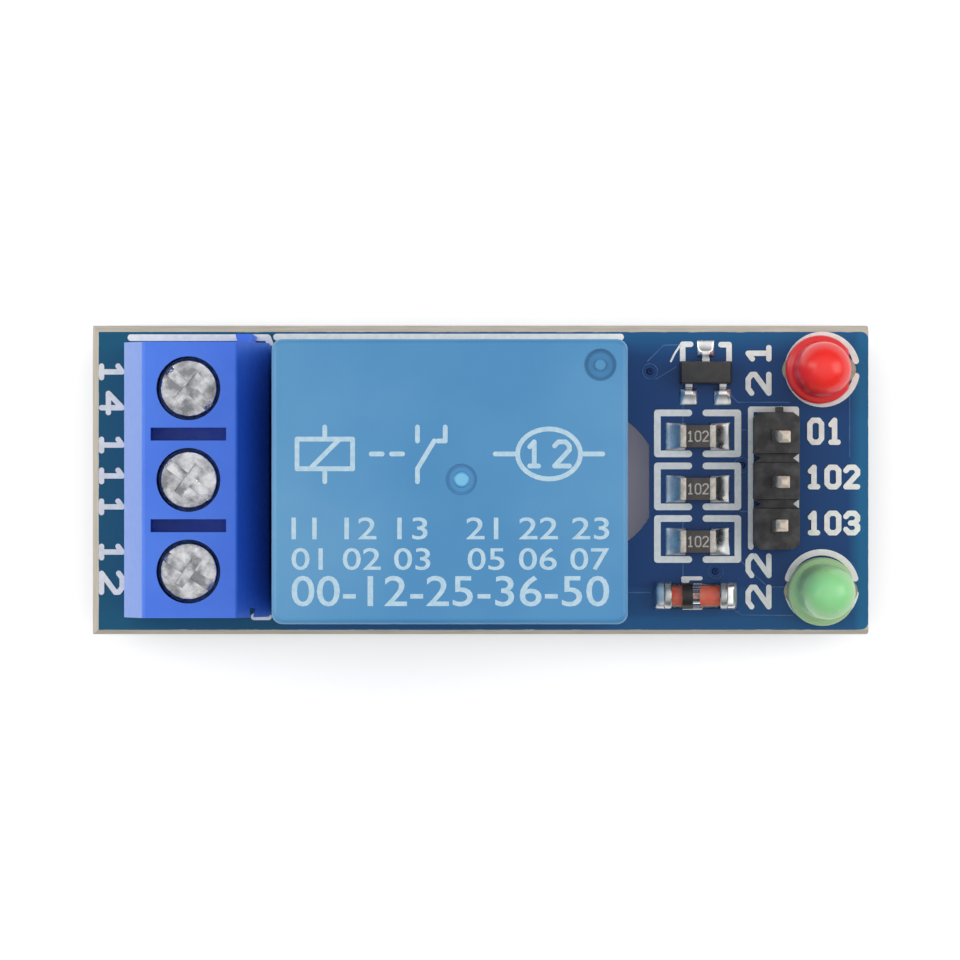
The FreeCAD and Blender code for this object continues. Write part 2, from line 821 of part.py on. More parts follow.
def make_resistor(y):
    """Ceramic chip with a glazed top, and the two metal caps folded round its ends."""
    z0 = deck + solder_film
    low = z0 + cap_thickness
    high = low + resistor_thickness
    half = resistor_width / 2
    left = chip_x - resistor_length / 2
    right = chip_x + resistor_length / 2
    body = box(left + cap_thickness, right - cap_thickness, y - half, y + half, low, high)
    glaze = box(left + cap_width, right - cap_width, y - half, y + half, high, high + resistor_glaze)
    caps = []
    for end, inner in ((left, left + cap_width), (right, right - cap_width)):
        shell = box(min(end, inner), max(end, inner), y - half, y + half, z0, high + cap_thickness)
        caps.append(shell.cut(body))
    solder = []
    for end, side in ((left, -1), (right, 1)):
        pad_end = chip_x + side * resistor_pad_length / 2
        inner = end - side * cap_width
        film = box(min(end, inner), max(end, inner), y - half, y + half, deck, z0)
        rise = solder_film + resistor_thickness * solder_share
        solder.append(joined([film, chip_solder(end, pad_end, y, resistor_pad_width, rise)]))
    return joined([body, glaze]), caps, solder


def make_transistor():
    """Moulded body on three bent leads, with the solder at their feet."""
    x = chip_x + transistor_shift[0]
    y = chip_row_offset + chip_pitch + transistor_shift[1]
    length, width, height = transistor_body
    z0 = deck + solder_film + transistor_lift
    z1 = z0 + height
    middle = (z0 + z1) / 2
    draft = transistor_draft

    waist = oblong(x, y, (length, width), middle)
    narrow = (length - 2 * draft, width - 2 * draft)
    body = joined([flat_sided(oblong(x, y, narrow, z0), waist),
                   flat_sided(waist, oblong(x, y, narrow, z1))])
    leads = []
    solder = []
    t = transistor_lead_thickness
    slant = transistor_lead_slant
    foot_z = deck + solder_film
    places = ((0, 1), (-transistor_lead_pitch / 2, -1), (transistor_lead_pitch / 2, -1))
    for shift, side in places:
        root = y + side * (width / 2 - transistor_lead_root)
        knee = y + side * (width / 2 + transistor_knee)
        toe = y + side * (width / 2 + transistor_lead_reach)
        outline = [(root, middle + t / 2), (knee + side * t / 2, middle + t / 2),
                   (knee + side * (t + slant), foot_z + t), (toe, foot_z + t), (toe, foot_z),
                   (knee + side * slant, foot_z), (knee, middle - t / 2), (root, middle - t / 2)]
        half = transistor_lead_width / 2
        lead = prism_x(outline, x + shift - half, x + shift + half)
        leads.append(lead)
        body = body.cut(lead)
        pad_mid = y + side * transistor_pad_centre
        pad_x, pad_y = transistor_pad
        pad = block((x + shift, pad_mid), (pad_x, pad_y), deck, foot_z)
        rise = chip_solder(toe, pad_mid + side * pad_y / 2, x + shift, pad_x * solder_share,
                           solder_film + t, True)
        solder.append(joined([pad, rise]).cut(lead))
    return body, leads, solder


def make_diode():
    """Glass tube between two metal end caps, with the slugs and the chip sealed in it."""
    x = chip_x + diode_shift[0]
    y = chip_row_offset - chip_pitch + diode_shift[1]
    z = deck + solder_film + diode_radius
    half = diode_length / 2

    def bar(radius, x0, x1):
        lying = many_sided(0, 0, radius, radius, x0, x1, diode_sides)
        lying.rotate(V(0, 0, 0), V(0, 1, 0), 90)
        lying.translate(V(0, y, z))
        return lying

    inner = half - diode_cap_length
    caps = []
    slugs = []
    solder = []
    for side in (-1, 1):
        x0 = min(side * inner, side * half)
        caps.append(bar(diode_radius, x + x0, x + x0 + diode_cap_length))
        near = side * slug_gap / 2
        far = side * inner
        slugs.append(bar(slug_radius, x + min(near, far), x + max(near, far)))
        end = x + side * half
        pad_end = x + side * diode_pad_length / 2
        rise = solder_film + diode_radius * solder_share
        film = block((x + side * (half - diode_cap_length / 2), y),
                     (diode_cap_length, diode_pad_width), deck, deck + solder_film + diode_radius * 0.3)
        film = film.cut(bar(diode_radius, x - half, x + half))
        solder.append(joined([film, chip_solder(end, pad_end, y, diode_pad_width, rise)]))
    glass = bar(diode_glass_radius, x - inner, x + inner).cut(bar(slug_radius, x - inner, x + inner))
    size = diode_chip / 2
    chip = box(x - slug_gap / 2, x + slug_gap / 2, y - size, y + size, z - size, z + size)
    return glass, caps, slugs, chip, solder


os.makedirs("parts", exist_ok=True)
save("circuit_board", make_board())

save("terminal_housing", make_terminal_housing())
pins = []
for i, y in enumerate(pole_y, 1):
    cage = make_cage(y)
    pins.append(cage)
    save("terminal_contact_%d" % i, cage)
    save("terminal_clamp_%d" % i, make_leaf(y))
    save("terminal_screw_%d" % i, make_screw(y))

save("relay_case", make_relay_case())
common = make_common_terminal()
open_contact = make_fixed_contact(-1, open_floor, open_floor + strip_thickness,
                                  open_floor + strip_thickness + contact_height)
closed_contact = make_fixed_contact(1, closed_floor, closed_floor - contact_height, closed_floor)
coil_pins = make_coil_pins()
base = box(relay_left + case_wall + base_play, relay_right - case_wall - base_play,
           relay_y - relay_width / 2 + case_wall + base_play,
           relay_y + relay_width / 2 - case_wall - base_play, base_floor, base_top)
for metal in [common, open_contact, closed_contact] + coil_pins:
    base = base.cut(metal)
save("relay_base", base)
save("relay_common_terminal", common)
save("relay_open_contact", open_contact)
save("relay_closed_contact", closed_contact)
save("relay_coil_pins", *coil_pins)
save("relay_bobbin", make_bobbin(coil_pins))
winding = spool_bar(winding_radius, winding_floor, winding_top)
save("relay_coil", winding.cut(spool_bar(core_radius + bobbin_wall, winding_floor, winding_top)))
save("relay_core", make_core())
save("relay_yoke", make_yoke())
armature, armature_rivets = make_armature()
save("relay_armature", armature)
save("relay_contact_spring", make_contact_spring(armature_rivets))
save("relay_moving_contact", make_moving_contact())
pins += [common, open_contact, closed_contact] + coil_pins

header_pin_shapes = [make_header_pin(y, lean) for y, lean in zip(pin_y, pin_lean)]
header = make_header_housing()
for i, pin in enumerate(header_pin_shapes, 1):
    header = header.cut(pin)
    save("header_pin_%d" % i, pin)
save("header_housing", header)
pins += header_pin_shapes

for name in lamp_places:
    lens, leads = make_lamp(name)
    save(name + "_led_lens", lens)
    for pole, lead in leads.items():
        save(name + "_led_" + pole, lead)
        pins.append(lead)

solder_by_name = {}
for name, x, y, size in joints:
    owner = min(pins, key=lambda pin: pin.distToShape(Part.Vertex(V(x, y, under - cone_height / 2)))[0])
    ring = lamp_pad_radius if name == "lamp_solder" else 0
    solder_by_name.setdefault(name, []).extend(through_solder(x, y, size, owner, ring))
for name, shapes in solder_by_name.items():
    save(name, *shapes)

resistor_solder = []
for i in (1, 2, 3):
    chip, caps, solder = make_resistor(chip_row_offset + (2 - i) * chip_pitch)
    save("resistor_%d_chip" % i, chip)
    save("resistor_%d_caps" % i, *caps)
    resistor_solder += solder
save("resistor_solder", *resistor_solder)

body, leads, solder = make_transistor()
save("transistor_body", body)
save("transistor_leads", *leads)
save("transistor_solder", *solder)

glass, caps, slugs, chip, solder = make_diode()
save("diode_glass", glass)
save("diode_end_caps", *caps)
save("diode_slugs", *slugs)
save("diode_chip", chip)
save("diode_solder", *solder)
print("board", round(board_length, 2), "x", round(2 * board_half_width, 2), "top", round(relay_top, 2))
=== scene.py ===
import math
import bmesh
import bpy
from mathutils import Matrix, Vector


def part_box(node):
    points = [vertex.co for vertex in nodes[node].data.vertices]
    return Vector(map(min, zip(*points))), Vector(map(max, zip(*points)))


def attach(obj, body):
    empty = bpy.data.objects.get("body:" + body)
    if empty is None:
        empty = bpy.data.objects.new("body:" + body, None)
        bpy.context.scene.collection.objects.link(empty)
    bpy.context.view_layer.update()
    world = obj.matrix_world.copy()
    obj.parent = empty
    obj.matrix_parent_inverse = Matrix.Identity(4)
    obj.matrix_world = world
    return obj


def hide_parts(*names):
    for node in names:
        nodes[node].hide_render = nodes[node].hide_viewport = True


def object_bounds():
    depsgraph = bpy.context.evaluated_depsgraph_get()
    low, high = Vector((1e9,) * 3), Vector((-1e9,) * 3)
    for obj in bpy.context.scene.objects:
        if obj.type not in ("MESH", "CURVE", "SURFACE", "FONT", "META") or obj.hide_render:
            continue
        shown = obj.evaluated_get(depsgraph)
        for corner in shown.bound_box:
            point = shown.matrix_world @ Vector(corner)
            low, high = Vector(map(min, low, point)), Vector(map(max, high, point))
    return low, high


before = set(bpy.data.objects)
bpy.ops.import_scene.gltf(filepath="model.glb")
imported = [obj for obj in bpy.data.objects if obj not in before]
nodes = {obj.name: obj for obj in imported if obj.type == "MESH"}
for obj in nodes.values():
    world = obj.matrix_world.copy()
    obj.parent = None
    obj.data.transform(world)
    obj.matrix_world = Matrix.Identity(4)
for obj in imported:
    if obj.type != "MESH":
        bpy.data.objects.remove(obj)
cad_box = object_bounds()
scene = bpy.context.scene
scene.view_settings.view_transform = "Standard"
mm = 0.001


# Camera. It looks straight down on the board from half a metre, as the photograph does, so the
# tall parts lean outwards only a little.
def add_object(name, data):
    """Puts a new object with its data into the scene."""
    made = bpy.data.objects.new(name, data)
    scene.collection.objects.link(made)
    return made


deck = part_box("circuit_board")[1].z
camera_height = 0.5
picture_width = 53.45 * mm
picture_centre = (-0.025 * mm, -0.006 * mm)
film_width = 36
camera_data = bpy.data.cameras.new("camera")
camera_data.sensor_width = film_width
camera_data.lens = film_width * camera_height / picture_width
camera_data.clip_start = 0.01
camera = add_object("camera", camera_data)
camera.location = (*picture_centre, deck + camera_height)
scene.camera = camera


# Studio. Two large soft lamps stand left and right of the camera, and a pale room fills the
# rest. Everything that looks at the floor sees white, apart from the shadow that the board casts.
# Under the board the floor is painted darker and glows a dim grey-purple: painted shadow, which
# shows through the slot in the board.
def rgb(red, green, blue):
    """A colour as a picture shows it, 0 to 255, as the shader wants it, and its alpha."""
    return (*(((c / 255 + 0.055) / 1.055) ** 2.4 if c > 10 else c / 255 / 12.92
              for c in (red, green, blue)), 1)


def add_node(tree, kind, *plugs, **settings):
    """Adds a node with its settings, and fills its sockets from values or other sockets."""
    node = tree.nodes.new(kind)
    for key, value in settings.items():
        setattr(node, key, value)
    for socket, value in plugs:
        if isinstance(value, bpy.types.NodeSocket):
            tree.links.new(value, node.inputs[socket])
        else:
            node.inputs[socket].default_value = value
    return node


def feed(node, socket, value):
    """Links a value into a socket of a node."""
    node.id_data.links.new(value, node.inputs[socket])


def math_node(tree, operation, a, b=0.0):
    """One sum of two values."""
    return add_node(tree, "ShaderNodeMath", (0, a), (1, b), operation=operation).outputs[0]


def ramp_node(tree, value, start, end, to_start=0.0, to_end=1.0):
    """A value that goes from one level to another between start and end."""
    return add_node(tree, "ShaderNodeMapRange", ("Value", value), ("From Min", start), ("From Max", end),
                    ("To Min", to_start), ("To Max", to_end)).outputs["Result"]


def mix_node(tree, share, a, b):
    """A colour between two colours."""
    return add_node(tree, "ShaderNodeMix", (0, share), (6, a), (7, b), data_type="RGBA").outputs[2]


def axes_node(tree, vector):
    """The three parts of a vector."""
    return add_node(tree, "ShaderNodeSeparateXYZ", ("Vector", vector)).outputs


def where_node(tree):
    """The place on the object."""
    return add_node(tree, "ShaderNodeTexCoord").outputs["Object"]


def new_material(name):
    """A material, with its tree and its shader."""
    made = bpy.data.materials.new(name)
    made.use_nodes = True
    return made, made.node_tree, made.node_tree.nodes["Principled BSDF"]


lamp_distance = 0.5
lamp_size = 0.34
lamp_angle = 56
lamp_forward = 0.05
lamp_power = 0.8
left_boost = 1.15
for name, side, power in (("left_lamp", -1, lamp_power * left_boost), ("right_lamp", 1, lamp_power)):
    lamp_data = bpy.data.lights.new(name, "AREA")
    lamp_data.shape = "SQUARE"
    lamp_data.size = lamp_size
    lamp_data.energy = power
    lamp = add_object(name, lamp_data)
    tilt = math.radians(lamp_angle) * side
    lamp.location = (lamp_distance * math.sin(tilt), lamp_forward, lamp_distance * math.cos(tilt))
    lamp.rotation_euler = (lamp.location - Vector((0, 0, deck))).to_track_quat("Z", "Y").to_euler()

room_low = 0.24
room_high = 1.2
room_bend = (0.25, 1.0)
room_sides = 0.25
room_turn = 0.3
world = bpy.data.worlds.new("room")
world.use_nodes = True
scene.world = world
sky = world.node_tree
direction = axes_node(sky, add_node(sky, "ShaderNodeTexCoord").outputs["Generated"])
aside = math_node(sky, "ABSOLUTE", math_node(sky, "SUBTRACT", direction["Y"], room_turn))
height = math_node(sky, "SUBTRACT", direction["Z"], math_node(sky, "MULTIPLY", aside, room_sides))
feed(sky.nodes["Background"], "Color", ramp_node(sky, height, *room_bend, room_low, room_high))

floor_size = 1.2
floor_glow = 0.35
floor_white = 0.9
floor_painted_shadow = 0.5
floor_roughness = 0.9
painted_shadow_glow = (0.075, 0.072, 0.105)
margin = 0.8 * mm
half = floor_size / 2
floor_mesh = bpy.data.meshes.new("floor")
floor_mesh.from_pydata([(x * half, y * half, 0) for x, y in ((-1, -1), (1, -1), (1, 1), (-1, 1))], [],
                       [(0, 1, 2, 3)])
floor = add_object("floor", floor_mesh)
floor_paint, tree, shader = new_material("floor")
place = axes_node(tree, where_node(tree))
inside = [ramp_node(tree, math_node(tree, "ABSOLUTE", place[axis]), cad_box[1][axis] - margin,
                    cad_box[1][axis], 1.0, 0.0) for axis in (0, 1)]
# Painted shadow: under the board the floor's colour drops and its glow turns a dim grey-purple.
painted_shadow_share = math_node(tree, "MULTIPLY", *inside)
rays = add_node(tree, "ShaderNodeLightPath").outputs
seen = math_node(tree, "MAXIMUM", rays["Is Camera Ray"], rays["Is Glossy Ray"])
seen = math_node(tree, "MAXIMUM", seen, rays["Is Transmission Ray"])
feed(shader, "Base Color", ramp_node(tree, painted_shadow_share, 0.0, 1.0, floor_white, floor_painted_shadow))
feed(shader, "Emission Color", mix_node(tree, painted_shadow_share, (*[floor_glow] * 3, 1), (*painted_shadow_glow, 1)))
feed(shader, "Emission Strength", seen)
shader.inputs["Roughness"].default_value = floor_roughness
floor_mesh.materials.append(floor_paint)


# Circuit board. Glass laminate under blue solder mask, cut from its panel along V-scored lines,
# which left a bare strip on three edges. The mask looks greener where no copper lies under it.
def noise_node(tree, where, scale, detail=2.0):
    """A soft noise from 0 to 1."""
    return add_node(tree, "ShaderNodeTexNoise", ("Vector", where), ("Scale", scale),
                    ("Detail", detail)).outputs[0]


def add_sockets(group, in_out, *sockets):
    """Named inputs or outputs of a node group."""
    for label, kind in sockets:
        group.interface.new_socket(label, in_out=in_out, socket_type="NodeSocket" + kind)


patch_detail = 4.0
grain_detail = 3.0
grain_span = (0.3, 0.7)


def surface_group():
    """Patches of a second colour, and a fine grain for roughness and relief."""
    group = bpy.data.node_groups.new("moulded_surface", "ShaderNodeTree")
    add_sockets(group, "INPUT", ("Color", "Color"), ("Patch Color", "Color"), ("Patch Scale", "Float"),
                ("Patch Low", "Float"), ("Patch High", "Float"), ("Grain Scale", "Float"),
                ("Rough Low", "Float"), ("Rough High", "Float"))
    add_sockets(group, "OUTPUT", ("Color", "Color"), ("Roughness", "Float"), ("Height", "Float"))
    given = group.nodes.new("NodeGroupInput").outputs
    out = group.nodes.new("NodeGroupOutput")
    where = where_node(group)
    patches = noise_node(group, where, given["Patch Scale"], patch_detail)
    share = ramp_node(group, patches, given["Patch Low"], given["Patch High"])
    grain = noise_node(group, where, given["Grain Scale"], grain_detail)
    feed(out, "Color", mix_node(group, share, given["Color"], given["Patch Color"]))
    feed(out, "Roughness", ramp_node(group, grain, *grain_span, given["Rough Low"], given["Rough High"]))
    feed(out, "Height", grain)
    return group


surface = surface_group()


def finish(name, colour, patch, patch_scale=900, patches=(0.35, 0.65), grain=6000, rough=(0.35, 0.5),
           relief=0.1, depth=0.02 * mm, **shader_values):
    """A material whose colour, gloss and relief come from the surface group."""
    made, tree, shader = new_material(name)
    look = add_node(tree, "ShaderNodeGroup", ("Color", colour), ("Patch Color", patch),
                    ("Patch Scale", patch_scale), ("Patch Low", patches[0]), ("Patch High", patches[1]),
                    ("Grain Scale", grain), ("Rough Low", rough[0]), ("Rough High", rough[1]),
                    node_tree=surface).outputs
    bump = add_node(tree, "ShaderNodeBump", ("Height", look["Height"]), ("Strength", relief),
                    ("Distance", depth))
    feed(shader, "Base Color", look["Color"])
    feed(shader, "Roughness", look["Roughness"])
    feed(shader, "Normal", bump.outputs["Normal"])
    for socket, value in shader_values.items():
        shader.inputs[socket.replace("_", " ")].default_value = value
    return made


def opened(material):
    """A material's tree and shader, and the place on the object along the three axes."""
    tree = material.node_tree
    return tree, tree.nodes["Principled BSDF"], axes_node(tree, where_node(tree))


def fed(shader, socket):
    """What a socket is linked to."""
    return shader.inputs[socket].links[0].from_socket


def dress(material, *names):
    """Gives CAD nodes a finish."""
    for name in names:
        for slot in nodes[name].material_slots:
            slot.material = material


def reach_node(tree, off_x, off_y):
    """The distance from an axis, from the two offsets to it."""
    return math_node(tree, "SQRT", math_node(tree, "ADD", math_node(tree, "MULTIPLY", off_x, off_x),
                                             math_node(tree, "MULTIPLY", off_y, off_y)))


def swing_node(tree, noise, span):
    """A noise as a length round nought."""
    return math_node(tree, "MULTIPLY", math_node(tree, "SUBTRACT", noise, 0.5), span)


board_low, board_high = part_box("circuit_board")
under = board_low.z
bare_top = 0.36 * mm
bare_left = 0.34 * mm
bare_bottom = 0.25 * mm
laminate_colour = rgb(207, 199, 184)
laminate_shade = rgb(189, 181, 167)
laminate_roughness = 0.75
fibre_stretch = (1, 1, 14)
fibre_scale = 450.0
mask_green = rgb(4, 88, 120)
mask_blue = rgb(16, 67, 124)
mask_rim = rgb(28, 110, 156)
mask_roughness = 0.26
mask_gloss = 0.22
mask_corner = 0.45 * mm
edge_scale = 1500.0
edge_wobble = 0.12 * mm
copper_start = -11.5 * mm
copper_blend = 1.5 * mm
copper_scale = 260.0
copper_drift = 1.2 * mm
rim_zones = (("X", 20.45, 21.15, 0.8), ("Y", 6.8, 8.0, 0.5), ("Y", -7.3, -7.7, 0.35),
             ("Y", -5.9, -6.1, 0.2))
upright_limit = 0.9

board_paint = finish("solder_mask", mask_green, mask_green, rough=(0.22, 0.34), grain=2500, relief=0.06,
                     Specular_IOR_Level=mask_gloss)
tree, shader, spot = opened(board_paint)
where = where_node(tree)
ragged = noise_node(tree, where, edge_scale, grain_detail)
clouds = noise_node(tree, where, copper_scale, grain_detail)
past = []
for axis, low, high in (("X", board_low.x + bare_left, board_high.x),
                        ("Y", board_low.y + bare_bottom, board_high.y - bare_top)):
    offset = math_node(tree, "ABSOLUTE", math_node(tree, "SUBTRACT", spot[axis], (low + high) / 2))
    offset = math_node(tree, "SUBTRACT", offset, (high - low) / 2 - mask_corner)
    past.append(math_node(tree, "MAXIMUM", offset, 0.0))
right_half = math_node(tree, "GREATER_THAN", spot["X"], 0.0)
past = ramp_node(tree, right_half, 0.0, 1.0, math_node(tree, "MAXIMUM", *past), reach_node(tree, *past))
past = math_node(tree, "ADD", past, swing_node(tree, ragged, edge_wobble))
bare = math_node(tree, "GREATER_THAN", past, mask_corner)
drifted = math_node(tree, "ADD", spot["X"], swing_node(tree, clouds, copper_drift))
with_copper = ramp_node(tree, drifted, copper_start, copper_start + copper_blend)
mask_colour = mix_node(tree, with_copper, mask_green, mask_blue)
rim = 0.0
for axis, start, end, share in rim_zones:
    zone = ramp_node(tree, spot[axis], start * mm, end * mm, 0.0, share)
    rim = math_node(tree, "MAXIMUM", rim, zone)
mask_colour = mix_node(tree, math_node(tree, "MULTIPLY", rim, with_copper), mask_colour, mask_rim)
faces = axes_node(tree, add_node(tree, "ShaderNodeNewGeometry").outputs["True Normal"])
upright = math_node(tree, "LESS_THAN", math_node(tree, "ABSOLUTE", faces["Z"]), upright_limit)
bare = math_node(tree, "MAXIMUM", bare, upright)
along = add_node(tree, "ShaderNodeVectorMath", (0, where), (1, fibre_stretch), operation="MULTIPLY")
fibres = noise_node(tree, along.outputs[0], fibre_scale, patch_detail)
laminate = mix_node(tree, ramp_node(tree, fibres, 0.35, 0.68), laminate_colour, laminate_shade)
feed(shader, "Base Color", mix_node(tree, bare, mask_colour, laminate))
feed(shader, "Roughness", ramp_node(tree, bare, 0.0, 1.0, mask_roughness, laminate_roughness))
dress(board_paint, "circuit_board")


# Copper under the mask. Tracks and pours stand a few hundredths of a millimetre proud, and only
# their edges show, as thin lines painted paler than the mask, a painted highlight for the light
# that the raised edges catch. Each is laid along a line of points with round joins.
def make_tree(name, *numbers):
    """An empty geometry tree with its mesh, its named numbers and its material."""
    group = bpy.data.node_groups.new(name, "GeometryNodeTree")
    add_sockets(group, "INPUT", ("Geometry", "Geometry"), *((label, "Float") for label in numbers),
                ("Material", "Material"))
    add_sockets(group, "OUTPUT", ("Geometry", "Geometry"))
    return group, group.nodes.new("NodeGroupInput").outputs


def close_tree(group, geometry, material):
    """Ends a tree with real geometry and its material."""
    real = add_node(group, "GeometryNodeRealizeInstances", ("Geometry", geometry))
    painted = add_node(group, "GeometryNodeSetMaterial", ("Geometry", real.outputs[0]),
                       ("Material", material))
    feed(group.nodes.new("NodeGroupOutput"), "Geometry", painted.outputs[0])
    return group


disc_sides = 20
disc_share = 0.94


def lines_tree():
    """Flat strips along lines of points, with round joins and ends that stay just below them."""
    group, given = make_tree("flat_lines", "Width", "Thickness")
    curve = add_node(group, "GeometryNodeMeshToCurve", ("Mesh", given["Geometry"]))
    level = add_node(group, "GeometryNodeSetCurveNormal", ("Curve", curve.outputs[0]), mode="Z_UP")
    section = add_node(group, "GeometryNodeCurvePrimitiveQuadrilateral", ("Width", given["Width"]),
                       ("Height", given["Thickness"]))
    strips = add_node(group, "GeometryNodeCurveToMesh", ("Curve", level.outputs[0]),
                      ("Profile Curve", section.outputs[0]), ("Fill Caps", True))
    disc = add_node(group, "GeometryNodeMeshCylinder", ("Vertices", disc_sides),
                    ("Radius", math_node(group, "MULTIPLY", given["Width"], 0.5)),
                    ("Depth", math_node(group, "MULTIPLY", given["Thickness"], disc_share)))
    discs = add_node(group, "GeometryNodeInstanceOnPoints", ("Points", given["Geometry"]),
                     ("Instance", disc.outputs["Mesh"]))
    both = add_node(group, "GeometryNodeJoinGeometry")
    for part in (strips, discs):
        feed(both, 0, part.outputs[0])
    flat = add_node(group, "GeometryNodeSetShadeSmooth", ("Geometry", both.outputs[0]),
                    ("Shade Smooth", False))
    return close_tree(group, flat.outputs[0], given["Material"])


flat_lines = lines_tree()
layer_step = 0.002 * mm
layers = 5


def line_mesh(name, lines, z):
    """Straight runs from lines in millimetres, each run a hair above the last so none coincide."""
    points = []
    for line in lines:
        for run in zip(line, line[1:]):
            rise = len(points) // 2 % layers * layer_step
            points += [(x * mm, y * mm, z + rise) for x, y in run]
    mesh = bpy.data.meshes.new(name)
    mesh.from_pydata(points, [(i, i + 1) for i in range(0, len(points), 2)], [])
    return mesh


def worked(made):
    """Works an object's modifiers into its mesh and clears them."""
    depsgraph = bpy.context.evaluated_depsgraph_get()
    mesh = bpy.data.meshes.new_from_object(made.evaluated_get(depsgraph))
    made.modifiers.clear()
    made.data = mesh
    return made


def grown(name, seed, group, **values):
    """An object that a geometry tree makes from a seed mesh."""
    made = add_object(name, seed)
    modifier = made.modifiers.new("growth", "NODES")
    modifier.node_group = group
    for item in group.interface.items_tree:
        if item.in_out == "INPUT" and item.name.lower() in values:
            modifier[item.identifier] = values[item.name.lower()]
    return worked(made)


def keep(made, body, slot, *replaced):
    """Fixes a finished piece to its body and hides the CAD nodes it stands for."""
    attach(made, body)
    if replaced:
        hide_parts(*replaced)
    return made


def strips(name, lines, z, width, thickness, material, slot):
    """A piece made of flat strips along lines in millimetres."""
    made = grown(name, line_mesh(name, lines, z), flat_lines, width=width, thickness=thickness,
                 material=material)
    return keep(made, "module", slot)


edge_thickness = 0.03 * mm
edge_width = 0.07 * mm
track_width = 0.9 * mm
# Painted highlight: the edge strips and via rings are a paler blue than the mask, for the light the raised
# copper edges catch.
edge_highlight_paint = finish("mask_at_copper_edge_painted_highlight", rgb(70, 112, 160), rgb(44, 86, 138), rough=(0.2, 0.3),
                    grain=2500, relief=0.05, Specular_IOR_Level=mask_gloss)
copper_edges = [
    [(8.0, -6.27), (9.44, -6.27)],
    [(11.27, 4.5), (11.27, 3.2)],
    [(11.27, -2.3), (11.27, -2.75)],
    [(11.27, -4.57), (11.27, -5.3)],
    [(13.80, 4.85), (13.97, 4.70), (14.33, 4.32), (17.2, 4.32)],
    [(20.55, 4.67), (20.55, 1.28)],
    [(14.5, 2.78), (14.95, 2.78)],
    [(14.5, -1.76), (14.95, -1.76)],
    [(14.51, -4.52), (15.40, -5.41), (16.01, -5.96), (17.1, -5.96)],
    [(13.95, -7.1), (14.17, -7.24), (14.56, -7.52), (17.4, -7.55)],
    [(9.3, 6.6), (10.2, 7.5), (11.1, 7.52)],
    [(9.75, 5.6), (10.9, 6.3)],
]
strips("copper_edges", copper_edges, deck, edge_width, edge_thickness, edge_highlight_paint, "board_laminate")
track_paint = finish("mask_over_copper", rgb(26, 66, 124), rgb(34, 80, 140), patch_scale=500,
                     rough=(0.22, 0.3), grain=2500, relief=0.05, Specular_IOR_Level=mask_gloss)
under_tracks = [
    [(-15.94, 5.0), (-15.94, 6.9), (-10.6, 6.9), (-8.36, 5.91)],
    [(-15.94, -5.0), (-15.94, -7.0), (-10.6, -7.0), (-8.36, -6.09)],
    [(-15.94, 0.0), (-9.0, 0.0), (5.84, -0.09)],
    [(3.84, 5.91), (6.2, 6.9), (12.2, 6.9), (13.2, 5.2), (16.43, 2.48)],
    [(3.84, -6.09), (5.2, -7.3), (9.8, -7.3), (12.0, -5.6)],
    [(16.43, -0.06), (14.0, -0.06), (13.0, -1.6), (13.08, -5.08)],
    [(16.43, -2.6), (17.6, -4.2), (17.68, -6.21)],
    [(20.22, -6.21), (20.6, -3.0), (20.6, 3.0), (20.12, 6.13)],
]
strips("tracks_under", under_tracks, under, track_width, 2 * edge_thickness, track_paint, "board_laminate")


# White print on the board. It is a thin layer of ink: frames round the small parts, two broken
# rings at the lamps and plain numbers at the terminals. Every stroke has round ends.
ink_thickness = 0.05 * mm
ink_rise = 0.02 * mm
ink_paint = finish("white_ink", rgb(252, 253, 249), rgb(238, 240, 236), patch_scale=2500,
                   rough=(0.5, 0.65), grain=5000, relief=0.25)
printed_lines = {
    "frames": (0.37, [[(-19.46, 7.92), (-11.85, 7.92), (-11.72, 7.60)], [(-11.35, 7.95), (7.80, 7.95)],
                      [(-12.6, -7.62), (-11.8, -7.62)]]),
    "rings": (0.34, []),
    "brackets": (0.31, [[(11.26, 6.60), (11.26, 7.55), (11.70, 7.55)],
                        [(13.84, 6.60), (13.84, 7.53), (13.39, 7.53)],
                        [(17.58, 3.93), (15.05, 3.93), (15.05, -3.73)], [(17.58, 3.93), (17.58, -3.0)]]),
    "bars": (0.22, [[(11.28, -5.48), (12.26, -5.48)], [(11.29, -5.62), (11.53, -5.62)]]),
    "thin_lines": (0.11, [[(11.12, 7.50), (10.84, 7.08), (10.60, 6.60)], [(11.28, -7.17), (12.3, -7.17)]]),
}
frame_half = 1.14
for row in (2.59, -0.36, -3.29):
    for open_end, closed_end in ((11.60, 9.85), (12.55, 14.33)):
        printed_lines["frames"][1].append([(open_end, row + frame_half), (closed_end, row + frame_half),
                                           (closed_end, row - frame_half), (open_end, row - frame_half)])
ring_radius = 1.93
ring_steps = 24
ring_arcs = ((14, 166), (191, 349))
for ring_x, ring_y in ((19.03, 6.15), (18.99, -5.96)):
    for start, end in ring_arcs:
        turns = [math.radians(start + (end - start) * i / ring_steps) for i in range(ring_steps + 1)]
        printed_lines["rings"][1].append([(ring_x + ring_radius * math.cos(t),
                                           ring_y + ring_radius * math.sin(t)) for t in turns])
for name, (width, lines) in printed_lines.items():
    strips("board_print_" + name, lines, deck + ink_rise, width * mm, ink_thickness, ink_paint,
           "board_laminate")

digit_strokes = {
    "0": [[(1, 0), (0, 1), (0, 5), (1, 6), (3, 6), (4, 5), (4, 1), (3, 0), (1, 0)]],
    "1": [[(0.8, 4.8), (2, 6), (2, 0)], [(0.8, 0), (3.2, 0)]],
    "2": [[(0, 5), (1, 6), (3, 6), (4, 5), (4, 4), (0, 0), (4, 0)]],
    "3": [[(0, 5), (1, 6), (3, 6), (4, 5), (4, 4), (3, 3), (1.6, 3)],
          [(3, 3), (4, 2), (4, 1), (3, 0), (1, 0), (0, 1)]],
    "4": [[(3, 0), (3, 6), (0, 2), (4, 2)]],
}
digit_width = 4
digit_height = 6


